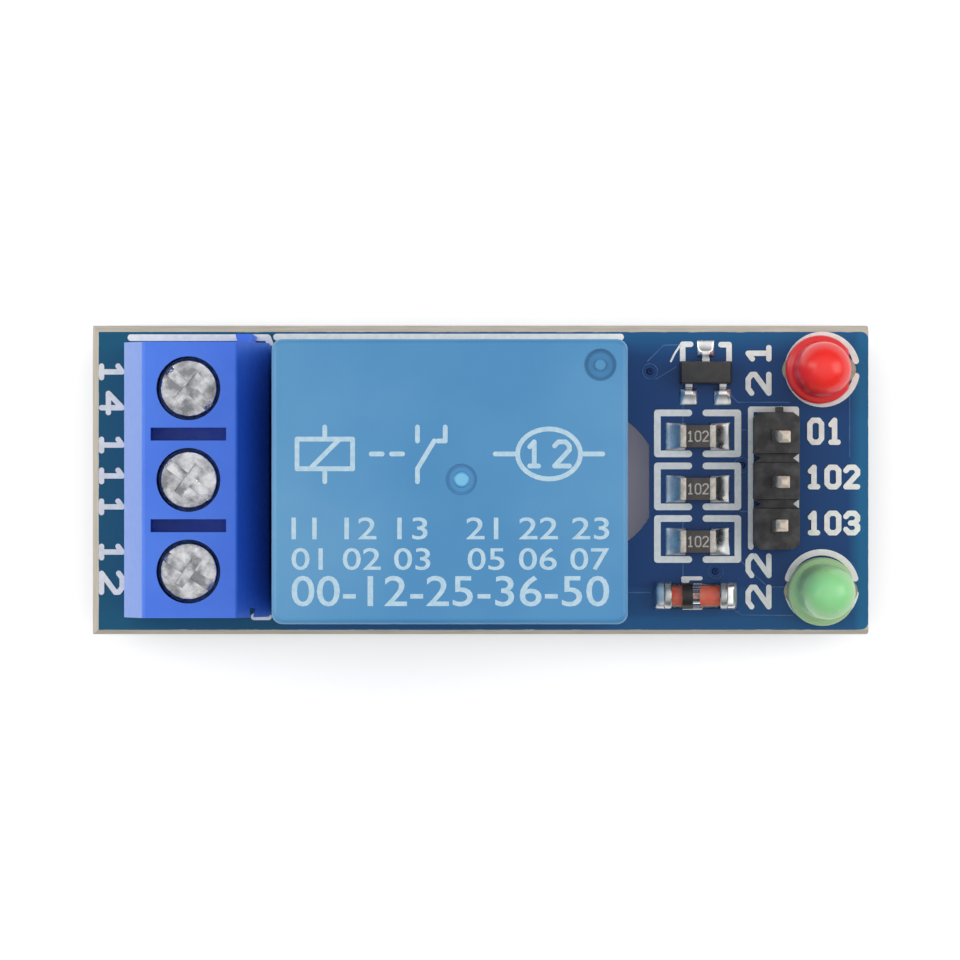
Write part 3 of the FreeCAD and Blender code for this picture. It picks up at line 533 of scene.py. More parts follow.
def number_lines(text, centre, tall, wide, gap, turn=0):
    """Strokes of a plain number round a centre, turned by quarter turns."""
    length = len(text) * wide + (len(text) - 1) * gap
    lines = []
    for i, digit in enumerate(text):
        for stroke in digit_strokes[digit]:
            flat = [(i * (wide + gap) - length / 2 + x * (wide / digit_width),
                     y * (tall / digit_height) - tall / 2) for x, y in stroke]
            for _ in range(turn % 4):
                flat = [(-y, x) for x, y in flat]
            lines.append([(centre[0] + x, centre[1] + y) for x, y in flat])
    return lines


number_ink = 0.3 * mm
# Each number with its middle, its height, a digit's width, the gap and the quarter turns.
board_numbers = (
    ("01", (19.19, 2.71), 1.22, 0.65, 0.4, 0), ("102", (19.62, 0.16), 1.08, 0.65, 0.4, 0),
    ("103", (19.62, -2.40), 1.08, 0.65, 0.4, 0), ("14", (-20.52, 5.15), 1.15, 1.07, 0.66, 3),
    ("111", (-20.52, 0.22), 1.15, 1.06, 0.66, 3), ("12", (-20.52, -4.87), 1.15, 1.05, 0.66, 3),
    ("21", (15.48, 6.2), 1.15, 1.04, 0.66, 1), ("22", (15.48, -5.65), 1.15, 1.08, 0.66, 1))
strips("board_numbers", [line for number in board_numbers for line in number_lines(*number)],
       deck + ink_rise, number_ink, ink_thickness, ink_paint, "board_laminate")


# Plated vias. Three small holes join the two copper layers. The mask closes them, so each shows
# as a spot painted dark, painted shade of the hole under the mask, in a thin ring painted pale,
# a painted highlight on the edge of its copper.
ring_sides = 28


def spots_tree():
    """A low washer at each point."""
    group, given = make_tree("plated_spots", "Radius", "Hole", "Thickness")
    radius = math_node(group, "MULTIPLY", math_node(group, "ADD", given["Radius"], given["Hole"]), 0.5)
    ring = add_node(group, "GeometryNodeCurvePrimitiveCircle", ("Resolution", ring_sides), ("Radius", radius))
    level = add_node(group, "GeometryNodeSetCurveNormal", ("Curve", ring.outputs[0]), mode="Z_UP")
    section = add_node(group, "GeometryNodeCurvePrimitiveQuadrilateral", ("Height", given["Thickness"]),
                       ("Width", math_node(group, "SUBTRACT", given["Radius"], given["Hole"])))
    washer = add_node(group, "GeometryNodeCurveToMesh", ("Curve", level.outputs[0]),
                      ("Profile Curve", section.outputs[0]))
    placed = add_node(group, "GeometryNodeInstanceOnPoints", ("Points", given["Geometry"]),
                      ("Instance", washer.outputs[0]))
    return close_tree(group, placed.outputs[0], given["Material"])


plated_spots = spots_tree()
via_places = ((9.43, 6.04), (14.56, 0.82), (13.08, -5.08))
via_radius = 0.46 * mm
via_hole = 0.39 * mm
plug_radius = 0.2 * mm
plug_hole = 0.05 * plug_radius
# Painted shade: the plug is a dark blue disc for the shade of the hole under the mask.
plug_shade_paint = finish("mask_in_via_painted_shade", rgb(10, 34, 82), rgb(18, 48, 98), rough=(0.2, 0.3),
                    Specular_IOR_Level=mask_gloss)


def point_mesh(name, points):
    """A mesh of loose points."""
    mesh = bpy.data.meshes.new(name)
    mesh.from_pydata(points, [], [])
    return mesh


via_points = [(x * mm, y * mm, z) for x, y in via_places for z in (deck, under)]
vias = grown("vias", point_mesh("vias", via_points), plated_spots, radius=via_radius, hole=via_hole,
             thickness=2 * edge_thickness, material=edge_highlight_paint)
keep(vias, "module", "board_laminate")
plugs = grown("via_plugs", point_mesh("via_plugs", via_points), plated_spots, radius=plug_radius,
              hole=plug_hole, thickness=edge_thickness, material=plug_shade_paint)
keep(plugs, "module", "board_laminate")


# Relay case. One thin blue moulding with a vent recess in one corner and a small gate mark in the
# middle of its top. It is slightly milky, so its colour drifts a little over each face. The vent
# and the gate mark are painted as rings of darker blue, painted shade, and the gate's middle is
# painted paler, a painted highlight.
relay_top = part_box("relay_case")[1].z
case_paint = finish("relay_blue", rgb(66, 138, 190), rgb(92, 155, 200), patch_scale=75, grain=1800,
                    rough=(0.3, 0.42), relief=0.05)
vent_place = (6.48 * mm, 6.21 * mm)
gate_place = (-1.01 * mm, 0.02 * mm)
mark_edge = 0.08 * mm
mark_depth = 1.0 * mm
case_marks_painted_shade = (
    (vent_place, 0.86 * mm, rgb(42, 112, 160)), (vent_place, 0.7 * mm, rgb(54, 126, 176)),
    (vent_place, 0.3 * mm, rgb(72, 144, 190)), (gate_place, 0.82 * mm, rgb(52, 122, 172)),
    (gate_place, 0.7 * mm, rgb(64, 138, 190)), (gate_place, 0.42 * mm, rgb(116, 190, 230)))
tree, shader, spot = opened(case_paint)
near_top = math_node(tree, "GREATER_THAN", spot["Z"], relay_top - mark_depth)
colour = fed(shader, "Base Color")
# Painted shade and highlight: darker rings of blue round the vent and the gate, and a paler middle at the
# gate.
for place, radius, tint in case_marks_painted_shade:
    away = reach_node(tree, math_node(tree, "SUBTRACT", spot["X"], place[0]),
                      math_node(tree, "SUBTRACT", spot["Y"], place[1]))
    share = math_node(tree, "MULTIPLY", ramp_node(tree, away, radius, radius - mark_edge), near_top)
    colour = mix_node(tree, share, colour, tint)
feed(shader, "Base Color", colour)
dress(case_paint, "relay_case")

print_height = 0.02 * mm
print_weight = 0.006
print_curves = 4
print_paint = finish("pale_print", rgb(190, 216, 230), rgb(170, 204, 224), patch_scale=3000,
                     rough=(0.45, 0.6))


def words(name, text, centre, tall, wide, z, material):
    """A plain number in raised print, as a mesh at its place."""
    curve = bpy.data.curves.new(name, "FONT")
    curve.body = text
    curve.align_x = "CENTER"
    curve.align_y = "CENTER"
    curve.extrude = print_height / 2
    curve.resolution_u = print_curves
    curve.offset = print_weight
    writing = add_object(name, curve)
    depsgraph = bpy.context.evaluated_depsgraph_get()
    mesh = bpy.data.meshes.new_from_object(writing.evaluated_get(depsgraph))
    bpy.data.objects.remove(writing)
    xs = [v.co.x for v in mesh.vertices]
    ys = [v.co.y for v in mesh.vertices]
    grow = Matrix.Diagonal((wide / (max(xs) - min(xs)), tall / (max(ys) - min(ys)), 1, 1))
    shift = Matrix.Translation((-(max(xs) + min(xs)) / 2, -(max(ys) + min(ys)) / 2, 0))
    mesh.transform(Matrix.Translation((*centre, z)) @ grow @ shift)
    mesh.materials.clear()
    mesh.materials.append(material)
    return add_object(name, mesh)


print_left = -10.2 * mm
print_right = 6.95 * mm
print_rows = (("11 12 13   21 22 23", -2.62, 1.2), ("01 02 03   05 06 07", -4.27, 1.2),
              ("00-12-25-36-50", -6.0, 1.66))
for i, (text, row, tall) in enumerate(print_rows):
    row_print = words("relay_print_row_%d" % (i + 1), text, ((print_left + print_right) / 2, row * mm),
                      tall * mm, print_right - print_left, relay_top, print_paint)
    keep(row_print, "module", "relay_blue")

symbol_width = 0.26 * mm
symbol_lines = [
    [(-9.9, 0.6), (-6.9, 0.6), (-6.9, 2.2), (-9.9, 2.2), (-9.9, 0.6)], [(-9.2, 0.6), (-7.6, 2.2)],
    [(-8.4, 2.2), (-8.4, 2.85)], [(-8.4, 0.6), (-8.4, -0.1)],
    [(-5.9, 1.4), (-5.3, 1.4)], [(-4.8, 1.4), (-4.2, 1.4)],
    [(-3.4, -0.1), (-3.4, 0.6), (-2.5, 2.1)], [(-3.4, 2.85), (-3.4, 2.1)],
    [(-1.9, 2.85), (-1.9, 2.1), (-2.3, 2.1)], [(0.8, 1.4), (2.0, 1.4)], [(5.4, 1.4), (6.6, 1.4)],
]
wheel_centre = (3.7, 1.4)
wheel_radii = (1.7, 1.35)
wheel_steps = 32
wheel_digit = (1.3, 0.8, 0.3)
wheel_turns = [2 * math.pi * i / wheel_steps for i in range(wheel_steps)]
wheel = [(wheel_centre[0] + wheel_radii[0] * math.cos(t), wheel_centre[1] + wheel_radii[1] * math.sin(t))
         for t in wheel_turns]
symbol_lines.append(wheel + wheel[:1])
for digit, digit_x in (("1", 2.9), ("2", 4.4)):
    symbol_lines += number_lines(digit, (digit_x, wheel_centre[1]), *wheel_digit)
strips("relay_print_symbols", symbol_lines, relay_top, symbol_width, print_height, print_paint, "relay_blue")


# Terminal block. One blue moulding with three wells for the screws, blind slots between the
# poles and wire mouths in front. Its sloping front edge is painted a paler blue, a painted
# highlight for the lamp's reflection on it. The screws are plated steel and sit deep in their
# wells, each in a bent cage that ends in a pin. The cages are painted blue, a painted reflection
# of the blue walls round them, so they show as a navy ring round each screw.
slope_end = -18.5 * mm
slope_lean = (-0.1, -0.45)
slope_rise = 0.2
painted_slope_highlight = rgb(118, 153, 230)
block_paint = finish("terminal_blue", rgb(58, 113, 230), rgb(68, 123, 236), patch_scale=260, grain=2200,
                     rough=(0.34, 0.46), relief=0.06)
tree, shader, spot = opened(block_paint)
facing = axes_node(tree, add_node(tree, "ShaderNodeNewGeometry").outputs["True Normal"])
# Painted highlight: faces of the front slope that lean forwards and up are mixed towards a paler blue.
slope = math_node(tree, "MULTIPLY", ramp_node(tree, facing["X"], *slope_lean),
                  math_node(tree, "GREATER_THAN", facing["Z"], slope_rise))
slope = math_node(tree, "MULTIPLY", slope, math_node(tree, "LESS_THAN", spot["X"], slope_end))
feed(shader, "Base Color", mix_node(tree, slope, fed(shader, "Base Color"), painted_slope_highlight))
tinned = finish("tinned_metal", rgb(196, 196, 194), rgb(170, 171, 172), patch_scale=2200, grain=5000,
                rough=(0.22, 0.4), relief=0.15, Metallic=1.0)
# Painted reflection: the cages are a blue metal, for the blue walls of the wells round them.
cage_reflection_paint = finish("cage_blue_painted_reflection", rgb(96, 124, 196), rgb(84, 106, 168), patch_scale=2200,
                    grain=5000, rough=(0.3, 0.45), relief=0.15, Metallic=1.0)
pin_tin = rgb(190, 190, 188)
tin_blend = 0.3 * mm
tree, shader, spot = opened(cage_reflection_paint)
below = ramp_node(tree, spot["Z"], deck, deck - tin_blend)
feed(shader, "Base Color", mix_node(tree, below, fed(shader, "Base Color"), pin_tin))
for i in (1, 2, 3):
    dress(cage_reflection_paint, "terminal_contact_%d" % i)
    dress(tinned, "terminal_clamp_%d" % i)


def lathe(name, outline, sides, material=None, cut=None):
    """A turned form on the Z axis from (radius, height) points, closed at its ends."""
    shape = bmesh.new()
    rings = []
    for radius, z in outline:
        if not radius:
            rings.append([shape.verts.new((0, 0, z))])
            continue
        ring = []
        for i in range(sides):
            turn = 2 * math.pi * i / sides
            point = Vector((radius * math.cos(turn), radius * math.sin(turn), z))
            ring.append(shape.verts.new(cut(point) if cut else point))
        rings.append(ring)
    for lower, upper in zip(rings, rings[1:]):
        for i in range(sides):
            j = (i + 1) % sides
            if len(lower) == 1:
                shape.faces.new((lower[0], upper[j], upper[i]))
            elif len(upper) == 1:
                shape.faces.new((lower[i], lower[j], upper[0]))
            else:
                shape.faces.new((lower[i], lower[j], upper[j], upper[i]))
    mesh = bpy.data.meshes.new(name)
    shape.normal_update()
    shape.to_mesh(mesh)
    shape.free()
    if material:
        mesh.materials.append(material)
    return mesh


def smooth(made, angle=35):
    """Shades curved faces as one surface and keeps the sharp edges."""
    shape = bmesh.new()
    shape.from_mesh(made.data)
    for face in shape.faces:
        face.smooth = True
    for edge in shape.edges:
        edge.smooth = len(edge.link_faces) == 2 and edge.calc_face_angle(0) <= math.radians(angle)
    shape.to_mesh(made.data)
    shape.free()
    return made


def piece(name, mesh, slot, *replaced, angle=35):
    """A finished piece of the module from its mesh."""
    return keep(smooth(add_object(name, mesh), angle), "module", slot, *replaced)


same_place = 1e-7
sliver = 1e-6
flat_angle = math.radians(1)
sharp_angle = math.radians(20)


def softened(name, node, width, material, slot, shortest=0.0):
    """Stands in for a CAD node with a copy whose sharp edges are rounded off, from a length on."""
    shape = bmesh.new()
    shape.from_mesh(nodes[node].data)
    bmesh.ops.remove_doubles(shape, verts=shape.verts, dist=same_place)
    bmesh.ops.dissolve_limit(shape, angle_limit=flat_angle, verts=shape.verts, edges=shape.edges)
    edges = [edge for edge in shape.edges
             if edge.calc_face_angle(0) > sharp_angle and edge.calc_length() > shortest]
    bmesh.ops.bevel(shape, geom=edges, offset=width, segments=3, profile=0.5, affect="EDGES",
                    clamp_overlap=not shortest)
    bmesh.ops.remove_doubles(shape, verts=shape.verts, dist=sliver)
    mesh = bpy.data.meshes.new(name)
    shape.to_mesh(mesh)
    shape.free()
    mesh.materials.clear()
    mesh.materials.append(material)
    return piece(name, mesh, slot, node, angle=40)


def middle(box):
    """The middle between two corners."""
    return (box[0] + box[1]) / 2


softened("terminal_block", "terminal_housing", 0.1 * mm, block_paint, "terminal_blue", shortest=4.5 * mm)

screw_paint = finish("plated_steel", rgb(214, 214, 217), rgb(132, 133, 137), patch_scale=1250,
                     patches=(0.38, 0.64), grain=1500, rough=(0.12, 0.34), relief=0.9, depth=0.1 * mm,
                     Metallic=1.0)
screw_low, screw_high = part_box("terminal_screw_1")
screw_turn = -38
screw_step = 4
screw_sides = 48
head_radius = (screw_high.x - screw_low.x) / 2
head_height = 1.5 * mm
head_rim = 0.06 * mm
head_crown = 0.12 * mm
head_chamfer = 0.08 * mm
rim_steps = 4
slot_width = 0.55 * mm
slot_depth = 0.8 * mm
cross_reach = 0.95 * mm
cross_width = 0.5 * mm
cross_depth = 1.04 * mm
recess_edge = 0.05 * mm
thread_radius = 1.24 * mm
thread_pitch = 0.45 * mm
thread_depth = 0.22 * mm
thread_margin = 0.25 * mm
thread_steps = 28
thread_sides = 4


def thread_tree():
    """A fine ridge that winds up a screw."""
    group, given = make_tree("screw_thread", "Radius", "Height", "Turns", "Ridge")
    helix = add_node(group, "GeometryNodeCurveSpiral", ("Resolution", thread_steps),
                     ("Rotations", given["Turns"]), ("Start Radius", given["Radius"]),
                     ("End Radius", given["Radius"]), ("Height", given["Height"]))
    section = add_node(group, "GeometryNodeCurvePrimitiveCircle", ("Resolution", thread_sides),
                       ("Radius", given["Ridge"]))
    ridge = add_node(group, "GeometryNodeCurveToMesh", ("Curve", helix.outputs[0]),
                     ("Profile Curve", section.outputs[0]), ("Fill Caps", True))
    return close_tree(group, ridge.outputs[0], given["Material"])


screw_thread = thread_tree()


def cut_box(size, centre, turn):
    """A block used as a cutter, turned with the screw."""
    shape = bmesh.new()
    bmesh.ops.create_cube(shape, size=1, matrix=Matrix.Rotation(turn, 4, "Z") @ Matrix.Translation(centre)
                          @ Matrix.Diagonal((*size, 1)))
    mesh = bpy.data.meshes.new("cutter")
    shape.to_mesh(mesh)
    shape.free()
    return add_object("cutter", mesh)


for i in (1, 2, 3):
    low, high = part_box("terminal_screw_%d" % i)
    centre = Vector(((low.x + high.x) / 2, (low.y + high.y) / 2, 0))
    tip = low.z
    top = high.z
    neck = top - head_height
    core = thread_radius - thread_depth
    turn = math.radians(screw_turn + screw_step * (i - 2))
    outline = [(0, tip), (thread_radius * 0.8, tip), (core, tip + 0.2 * mm), (core, neck),
               (head_radius - head_chamfer, neck), (head_radius, neck + head_chamfer),
               (head_radius, top - head_crown - head_rim)]
    for step in range(1, rim_steps + 1):
        bend = math.pi / 2 * step / rim_steps
        outline.append((head_radius - head_rim * (1 - math.cos(bend)),
                        top - head_crown - head_rim * (1 - math.sin(bend))))
    for share in (0.8, 0.6, 0.4, 0.2, 0):
        outline.append((share * head_radius, top - head_crown * share ** 2))
    screw = add_object("terminal_screw_head_%d" % i, lathe("screw", outline, screw_sides, screw_paint))
    cutters = [cut_box((2.2 * head_radius, slot_width, 2 * slot_depth), (0, 0, top), turn),
               cut_box((2 * cross_reach, cross_width, 2 * cross_depth), (0, 0, top), turn + math.pi / 2)]
    for cutter in cutters:
        boolean = screw.modifiers.new("recess", "BOOLEAN")
        boolean.operation = "DIFFERENCE"
        boolean.object = cutter
        boolean.solver = "EXACT"
    bevel = screw.modifiers.new("edges", "BEVEL")
    bevel.width = recess_edge
    bevel.segments = 2
    bevel.limit_method = "ANGLE"
    worked(screw)
    for cutter in cutters:
        bpy.data.objects.remove(cutter)
    climb = neck - tip - 2 * thread_margin
    thread = grown("thread", point_mesh("thread", [(0, 0, 0)]), screw_thread, radius=core, height=climb,
                   turns=climb / thread_pitch, ridge=thread_depth, material=screw_paint)
    thread.data.transform(Matrix.Translation((0, 0, tip + thread_margin)))
    shape = bmesh.new()
    shape.from_mesh(screw.data)
    shape.from_mesh(thread.data)
    shape.to_mesh(screw.data)
    shape.free()
    bpy.data.objects.remove(thread)
    screw.data.transform(Matrix.Translation(centre))
    keep(smooth(screw), "screw_%d" % i, "screw_steel", "terminal_screw_%d" % i)


# Pin header. Three cells in one black moulding, each with a square pin pressed through it. The
# pins are drawn wire with a thin plating, and their blunt points are duller from the cut.
header_paint = finish("header_black", rgb(32, 31, 33), rgb(76, 74, 74), patch_scale=1300,
                      patches=(0.42, 0.76), grain=1500, rough=(0.34, 0.56), relief=0.6, depth=0.06 * mm)
softened("header_body", "header_housing", 0.09 * mm, header_paint, "header_black")
pin_paint = finish("plated_pin", rgb(224, 210, 194), rgb(200, 186, 170), patch_scale=2500, grain=4000,
                   rough=(0.14, 0.24), Metallic=0.9)
point_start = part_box("header_pin_1")[1].z - 0.8 * mm
point_blend = 0.2 * mm
point_dullness = 0.4
tree, shader, spot = opened(pin_paint)
dull = ramp_node(tree, spot["Z"], point_start, point_start + point_blend, 0.0, point_dullness)
feed(shader, "Roughness", math_node(tree, "ADD", fed(shader, "Roughness"), dull))
feed(shader, "Metallic", math_node(tree, "SUBTRACT", shader.inputs["Metallic"].default_value, dull))
for i in (1, 2, 3):
    softened("header_pin_%d_plated" % i, "header_pin_%d" % i, 0.05 * mm, pin_paint, "pin_gold")


# Lamps. Each is one cast lens of tinted resin with a flange at its foot, a flat on one side of
# it and a dome on top. The two leads end inside it, and each lamp leans a little.
lens_sides = 72
dome_steps = 14
lens_radius = 1.5 * mm
lens_height = 5.3 * mm
lens_foot = deck + 0.35 * mm
lens_bend = 0.12 * mm
flange_radius = 1.9 * mm
flange_height = 1.0 * mm
flat_reach = 1.6 * mm
edge_start = 0.9 * mm
edge_end = 1.75 * mm
lamps = (
    ("power", (18.85 * mm, 6.13 * mm), 2, rgb(255, 40, 30), rgb(236, 46, 50), "lens_red"),
    ("signal", (18.95 * mm, -6.21 * mm), 4, rgb(150, 226, 154), rgb(168, 206, 154), "lens_green"))
lead_paint = finish("tinned_lead", rgb(190, 188, 184), rgb(160, 160, 160), patch_scale=2500, grain=5000,
                    rough=(0.22, 0.4), relief=0.15, Metallic=1.0)


def lens_outline():
    """Half the section of a lens, from the middle of its foot to the top of its dome."""
    crown = lens_height - lens_radius
    outline = [(0, 0), (flange_radius - lens_bend, 0), (flange_radius, lens_bend),
               (flange_radius, flange_height - lens_bend), (flange_radius - lens_bend, flange_height),
               (lens_radius + lens_bend, flange_height), (lens_radius, flange_height + lens_bend),
               (lens_radius, crown * 0.7)]
    for step in range(dome_steps):
        angle = math.pi / 2 * step / dome_steps
        outline.append((lens_radius * math.cos(angle), crown + lens_radius * math.sin(angle)))
    return outline + [(0, lens_height)]


def flatten(point):
    """Cuts the flat on the flange."""
    if point.z < flange_height + 0.01 * mm:
        point.x = min(point.x, flat_reach)
    return point


for name, place, lean, colour, edge, slot in lamps:
    lens_paint = finish(name + "_lens", colour, colour, rough=(0.27, 0.31), grain=600, relief=0.01,
                        Specular_IOR_Level=0.6, Subsurface_Weight=0.25, Subsurface_Scale=0.6 * mm)
    tree, shader, spot = opened(lens_paint)
    lean = math.radians(lean)
    shift = math_node(tree, "MULTIPLY", math_node(tree, "SUBTRACT", spot["Z"], lens_foot), math.tan(lean))
    off_x = math_node(tree, "SUBTRACT", math_node(tree, "SUBTRACT", spot["X"], place[0]), shift)
    away = reach_node(tree, off_x, math_node(tree, "SUBTRACT", spot["Y"], place[1]))
    feed(shader, "Base Color", mix_node(tree, ramp_node(tree, away, edge_start, edge_end), colour, edge))
    lens = lathe("lens", lens_outline(), lens_sides, lens_paint, flatten)
    lens.transform(Matrix.Translation((*place, lens_foot)) @ Matrix.Rotation(lean, 4, "Y"))
    piece(name + "_lens", lens, slot, name + "_led_lens", angle=50)
    dress(lead_paint, name + "_led_anode", name + "_led_cathode")


# Chip resistors. A white ceramic chip with a dark glazed top and a plated cap over each end. The
# number on top is a plain value code.
chip_paint = finish("resistor_glaze", rgb(70, 62, 56), rgb(84, 76, 70), patch_scale=2500, grain=5000,
                    rough=(0.3, 0.45), relief=0.15)
cap_paint = finish("plated_cap", rgb(206, 198, 188), rgb(176, 170, 162), patch_scale=3000,
                   rough=(0.3, 0.5), relief=0.3, Metallic=1.0)
code_paint = finish("code_print", rgb(206, 200, 188), rgb(186, 180, 170), patch_scale=4000, grain=8000,
                    rough=(0.5, 0.6))
code_size = (0.54, 0.29, 0.13)
code_width = 0.08 * mm
code_thickness = 0.03 * mm
code_lines = []
for i in (1, 2, 3):
    softened("resistor_%d_body" % i, "resistor_%d_chip" % i, 0.03 * mm, chip_paint, "chip_ceramic")
    softened("resistor_%d_ends" % i, "resistor_%d_caps" % i, 0.05 * mm, cap_paint, "tinned_metal")
    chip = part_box("resistor_%d_chip" % i)
    code_lines += number_lines("102", middle(chip) / mm, *code_size)
strips("resistor_codes", code_lines, chip[1].z, code_width, code_thickness, code_paint, "chip_ceramic")


# Transistor. A small moulded body with three bent leads, dull black and plain.
body_paint = finish("moulded_black", rgb(50, 48, 49), rgb(60, 58, 58), patch_scale=2500, grain=5000,
                    rough=(0.45, 0.6), relief=0.25)
softened("transistor_block", "transistor_body", 0.05 * mm, body_paint, "epoxy_black")
softened("transistor_legs", "transistor_leads", 0.04 * mm, tinned, "tinned_metal")


# Glass diode. A glass tube between two plated end caps. The copper slugs inside it look red
# through the glass, and a dark band is painted round the cathode end.
glass_tint = (1.0, 0.95, 0.92, 1)
glass_bend = 1.45
glass_shadow = 0.12
streak_scale = 1200.0
streak_rough = (0.02, 0.08)
glass_paint, tree, shader = new_material("diode_glass")
shader.inputs["Transmission Weight"].default_value = 1.0
shader.inputs["IOR"].default_value = glass_bend
shader.inputs["Base Color"].default_value = glass_tint
streaks = noise_node(tree, where_node(tree), streak_scale)
feed(shader, "Roughness", ramp_node(tree, streaks, *grain_span, *streak_rough))
shadow_ray = add_node(tree, "ShaderNodeLightPath").outputs["Is Shadow Ray"]
feed(shader, "Alpha", ramp_node(tree, shadow_ray, 0.0, 1.0, 1.0, glass_shadow))
slug_paint = finish("copper_slug", rgb(255, 134, 98), rgb(250, 90, 64), patch_scale=1500,
                    rough=(0.25, 0.4), grain=5000)
band_paint = finish("cathode_band", rgb(24, 20, 22), rgb(34, 28, 30), patch_scale=3000,
                    rough=(0.3, 0.4), grain=5000)
silicon = finish("silicon", rgb(214, 178, 170), rgb(120, 96, 98), patch_scale=4000, rough=(0.2, 0.3))
dress(silicon, "diode_chip")
glass_low, glass_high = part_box("diode_glass")
caps_low, caps_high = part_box("diode_end_caps")
slug_low, slug_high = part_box("diode_slugs")
chip_low, chip_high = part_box("diode_chip")
glass_radius = (glass_high.z - glass_low.z) / 2
cap_radius = (caps_high.z - caps_low.z) / 2
slug_radius = (slug_high.z - slug_low.z) / 2
diode_y = (caps_low.y + caps_high.y) / 2
diode_z = (caps_low.z + caps_high.z) / 2
diode_sides = 40
slug_sides = 32
rim_drop = 0.06 * mm
rim_length = 0.1 * mm
cap_bend = 0.1 * mm
slug_bend = 0.05 * mm
bend_steps = 3
overlap = 0.01 * mm
band_rise = 0.02 * mm
band_start = 11.22 * mm
band_end = 11.8 * mm


def lying(mesh):
    """Lays a turned form along the board at the diode's axis."""
    mesh.transform(Matrix.Translation((0, diode_y, diode_z)) @ Matrix.Rotation(math.pi / 2, 4, "Y"))
    return mesh


def bar_outline(radius, start, end, bend):
    """A bar with rounded rims."""
    arc = []
    for step in range(bend_steps + 1):
        angle = math.pi / 2 * step / bend_steps
        arc.append((radius - bend * (1 - math.sin(angle)), bend * (1 - math.cos(angle))))
    return ([(0, start)] + [(reach, start + inward) for reach, inward in arc]
            + [(reach, end - inward) for reach, inward in arc[::-1]] + [(0, end)])


def joined_mesh(name, meshes, material):
    """Several meshes as one."""
    shape = bmesh.new()
    for mesh in meshes:
        shape.from_mesh(mesh)
    bmesh.ops.recalc_face_normals(shape, faces=shape.faces)
    made = bpy.data.meshes.new(name)
    shape.to_mesh(made)
    shape.free()
    made.materials.append(material)
    return made


bore = slug_radius - overlap
tube_outline = [(bore, glass_low.x), (glass_radius - rim_drop, glass_low.x),
                (glass_radius, glass_low.x + rim_length), (glass_radius, glass_high.x - rim_length),
                (glass_radius - rim_drop, glass_high.x), (bore, glass_high.x), (bore, glass_low.x)]
piece("diode_glass_tube", lying(lathe("tube", tube_outline, diode_sides, glass_paint)), "diode_glass",
      "diode_glass")
caps = [lying(lathe("cap", bar_outline(cap_radius, start, end, cap_bend), diode_sides))
        for start, end in ((caps_low.x, glass_low.x), (glass_high.x, caps_high.x))]
piece("diode_caps", joined_mesh("caps", caps, tinned), "tinned_metal", "diode_end_caps")
slugs = [lying(lathe("slug", bar_outline(slug_radius, start, end, slug_bend), slug_sides))
         for start, end in ((slug_low.x, chip_low.x), (chip_high.x, slug_high.x))]
piece("diode_copper_slugs", joined_mesh("slugs", slugs, slug_paint), "slug_copper", "diode_slugs")
band_outline = [(glass_radius - overlap, band_start), (glass_radius + band_rise, band_start),
                (glass_radius + band_rise, band_end), (glass_radius - overlap, band_end),
                (glass_radius - overlap, band_start)]
piece("diode_band", lying(lathe("band", band_outline, diode_sides, band_paint)), "diode_glass")


# Solder on the small parts. Each pad carries a bright concave ramp that climbs the end cap or
# the lead's foot and thins out to the pad's edge.
solder_paint = finish("solder", rgb(240, 240, 240), rgb(212, 213, 215), patch_scale=1800, grain=1600,
                      rough=(0.2, 0.44), relief=0.2, depth=0.03 * mm, Metallic=1.0)


def islands(node):
    """The corners of each separate solid in a CAD node."""
    shape = bmesh.new()
    shape.from_mesh(nodes[node].data)
    bmesh.ops.remove_doubles(shape, verts=shape.verts, dist=same_place)
    left = set(shape.verts)
    boxes = []
    while left:
        group = [left.pop()]
        for vert in group:
            for edge in vert.link_edges:
                other = edge.other_vert(vert)
                if other in left:
                    left.remove(other)
                    group.append(other)
        corners = [[v.co[axis] for v in group] for axis in range(3)]
        boxes.append((Vector([min(c) for c in corners]), Vector([max(c) for c in corners])))
    shape.free()
    return sorted(boxes, key=lambda box: tuple(round(c, 7) for c in box[0]))


def mound(pad, lead, rise, reach, hollow, film, step):
    """Solder over a pad that climbs the foot of a lead, both given by their corners."""
    shape = bmesh.new()
    across = max(4, round((pad[1].x - pad[0].x) / step))
    along = max(4, round((pad[1].y - pad[0].y) / step))
    rows = []
    for i in range(across + 1):
        x = pad[0].x + (pad[1].x - pad[0].x) * i / across
        away_x = max(lead[0].x - x, x - lead[1].x, 0)
        row = []
        for j in range(along + 1):
            y = pad[0].y + (pad[1].y - pad[0].y) * j / along
            away_y = max(lead[0].y - y, y - lead[1].y, 0)
            near = max(0, 1 - math.hypot(away_x, away_y) / reach)
            edge = (1 - abs(2 * i / across - 1) ** 6) * (1 - abs(2 * j / along - 1) ** 6)
            row.append(shape.verts.new((x, y, deck + (film + rise * near ** hollow) * max(edge, 0) ** 0.5)))
        rows.append(row)
    for i in range(across):
        for j in range(along):
            shape.faces.new((rows[i][j], rows[i + 1][j], rows[i + 1][j + 1], rows[i][j + 1]))
    rim = [rows[i][0] for i in range(across + 1)] + [rows[across][j] for j in range(1, along + 1)]
    rim += [rows[i][along] for i in range(across - 1, -1, -1)] + [rows[0][j] for j in range(along - 1, 0, -1)]
    base = [shape.verts.new((v.co.x, v.co.y, deck - overlap)) for v in rim]
    for a in range(len(rim)):
        b = (a + 1) % len(rim)
        shape.faces.new((rim[b], rim[a], base[a], base[b]))
    shape.faces.new(base[::-1])
    mesh = bpy.data.meshes.new("mound")
    shape.to_mesh(mesh)
    shape.free()
    return mesh


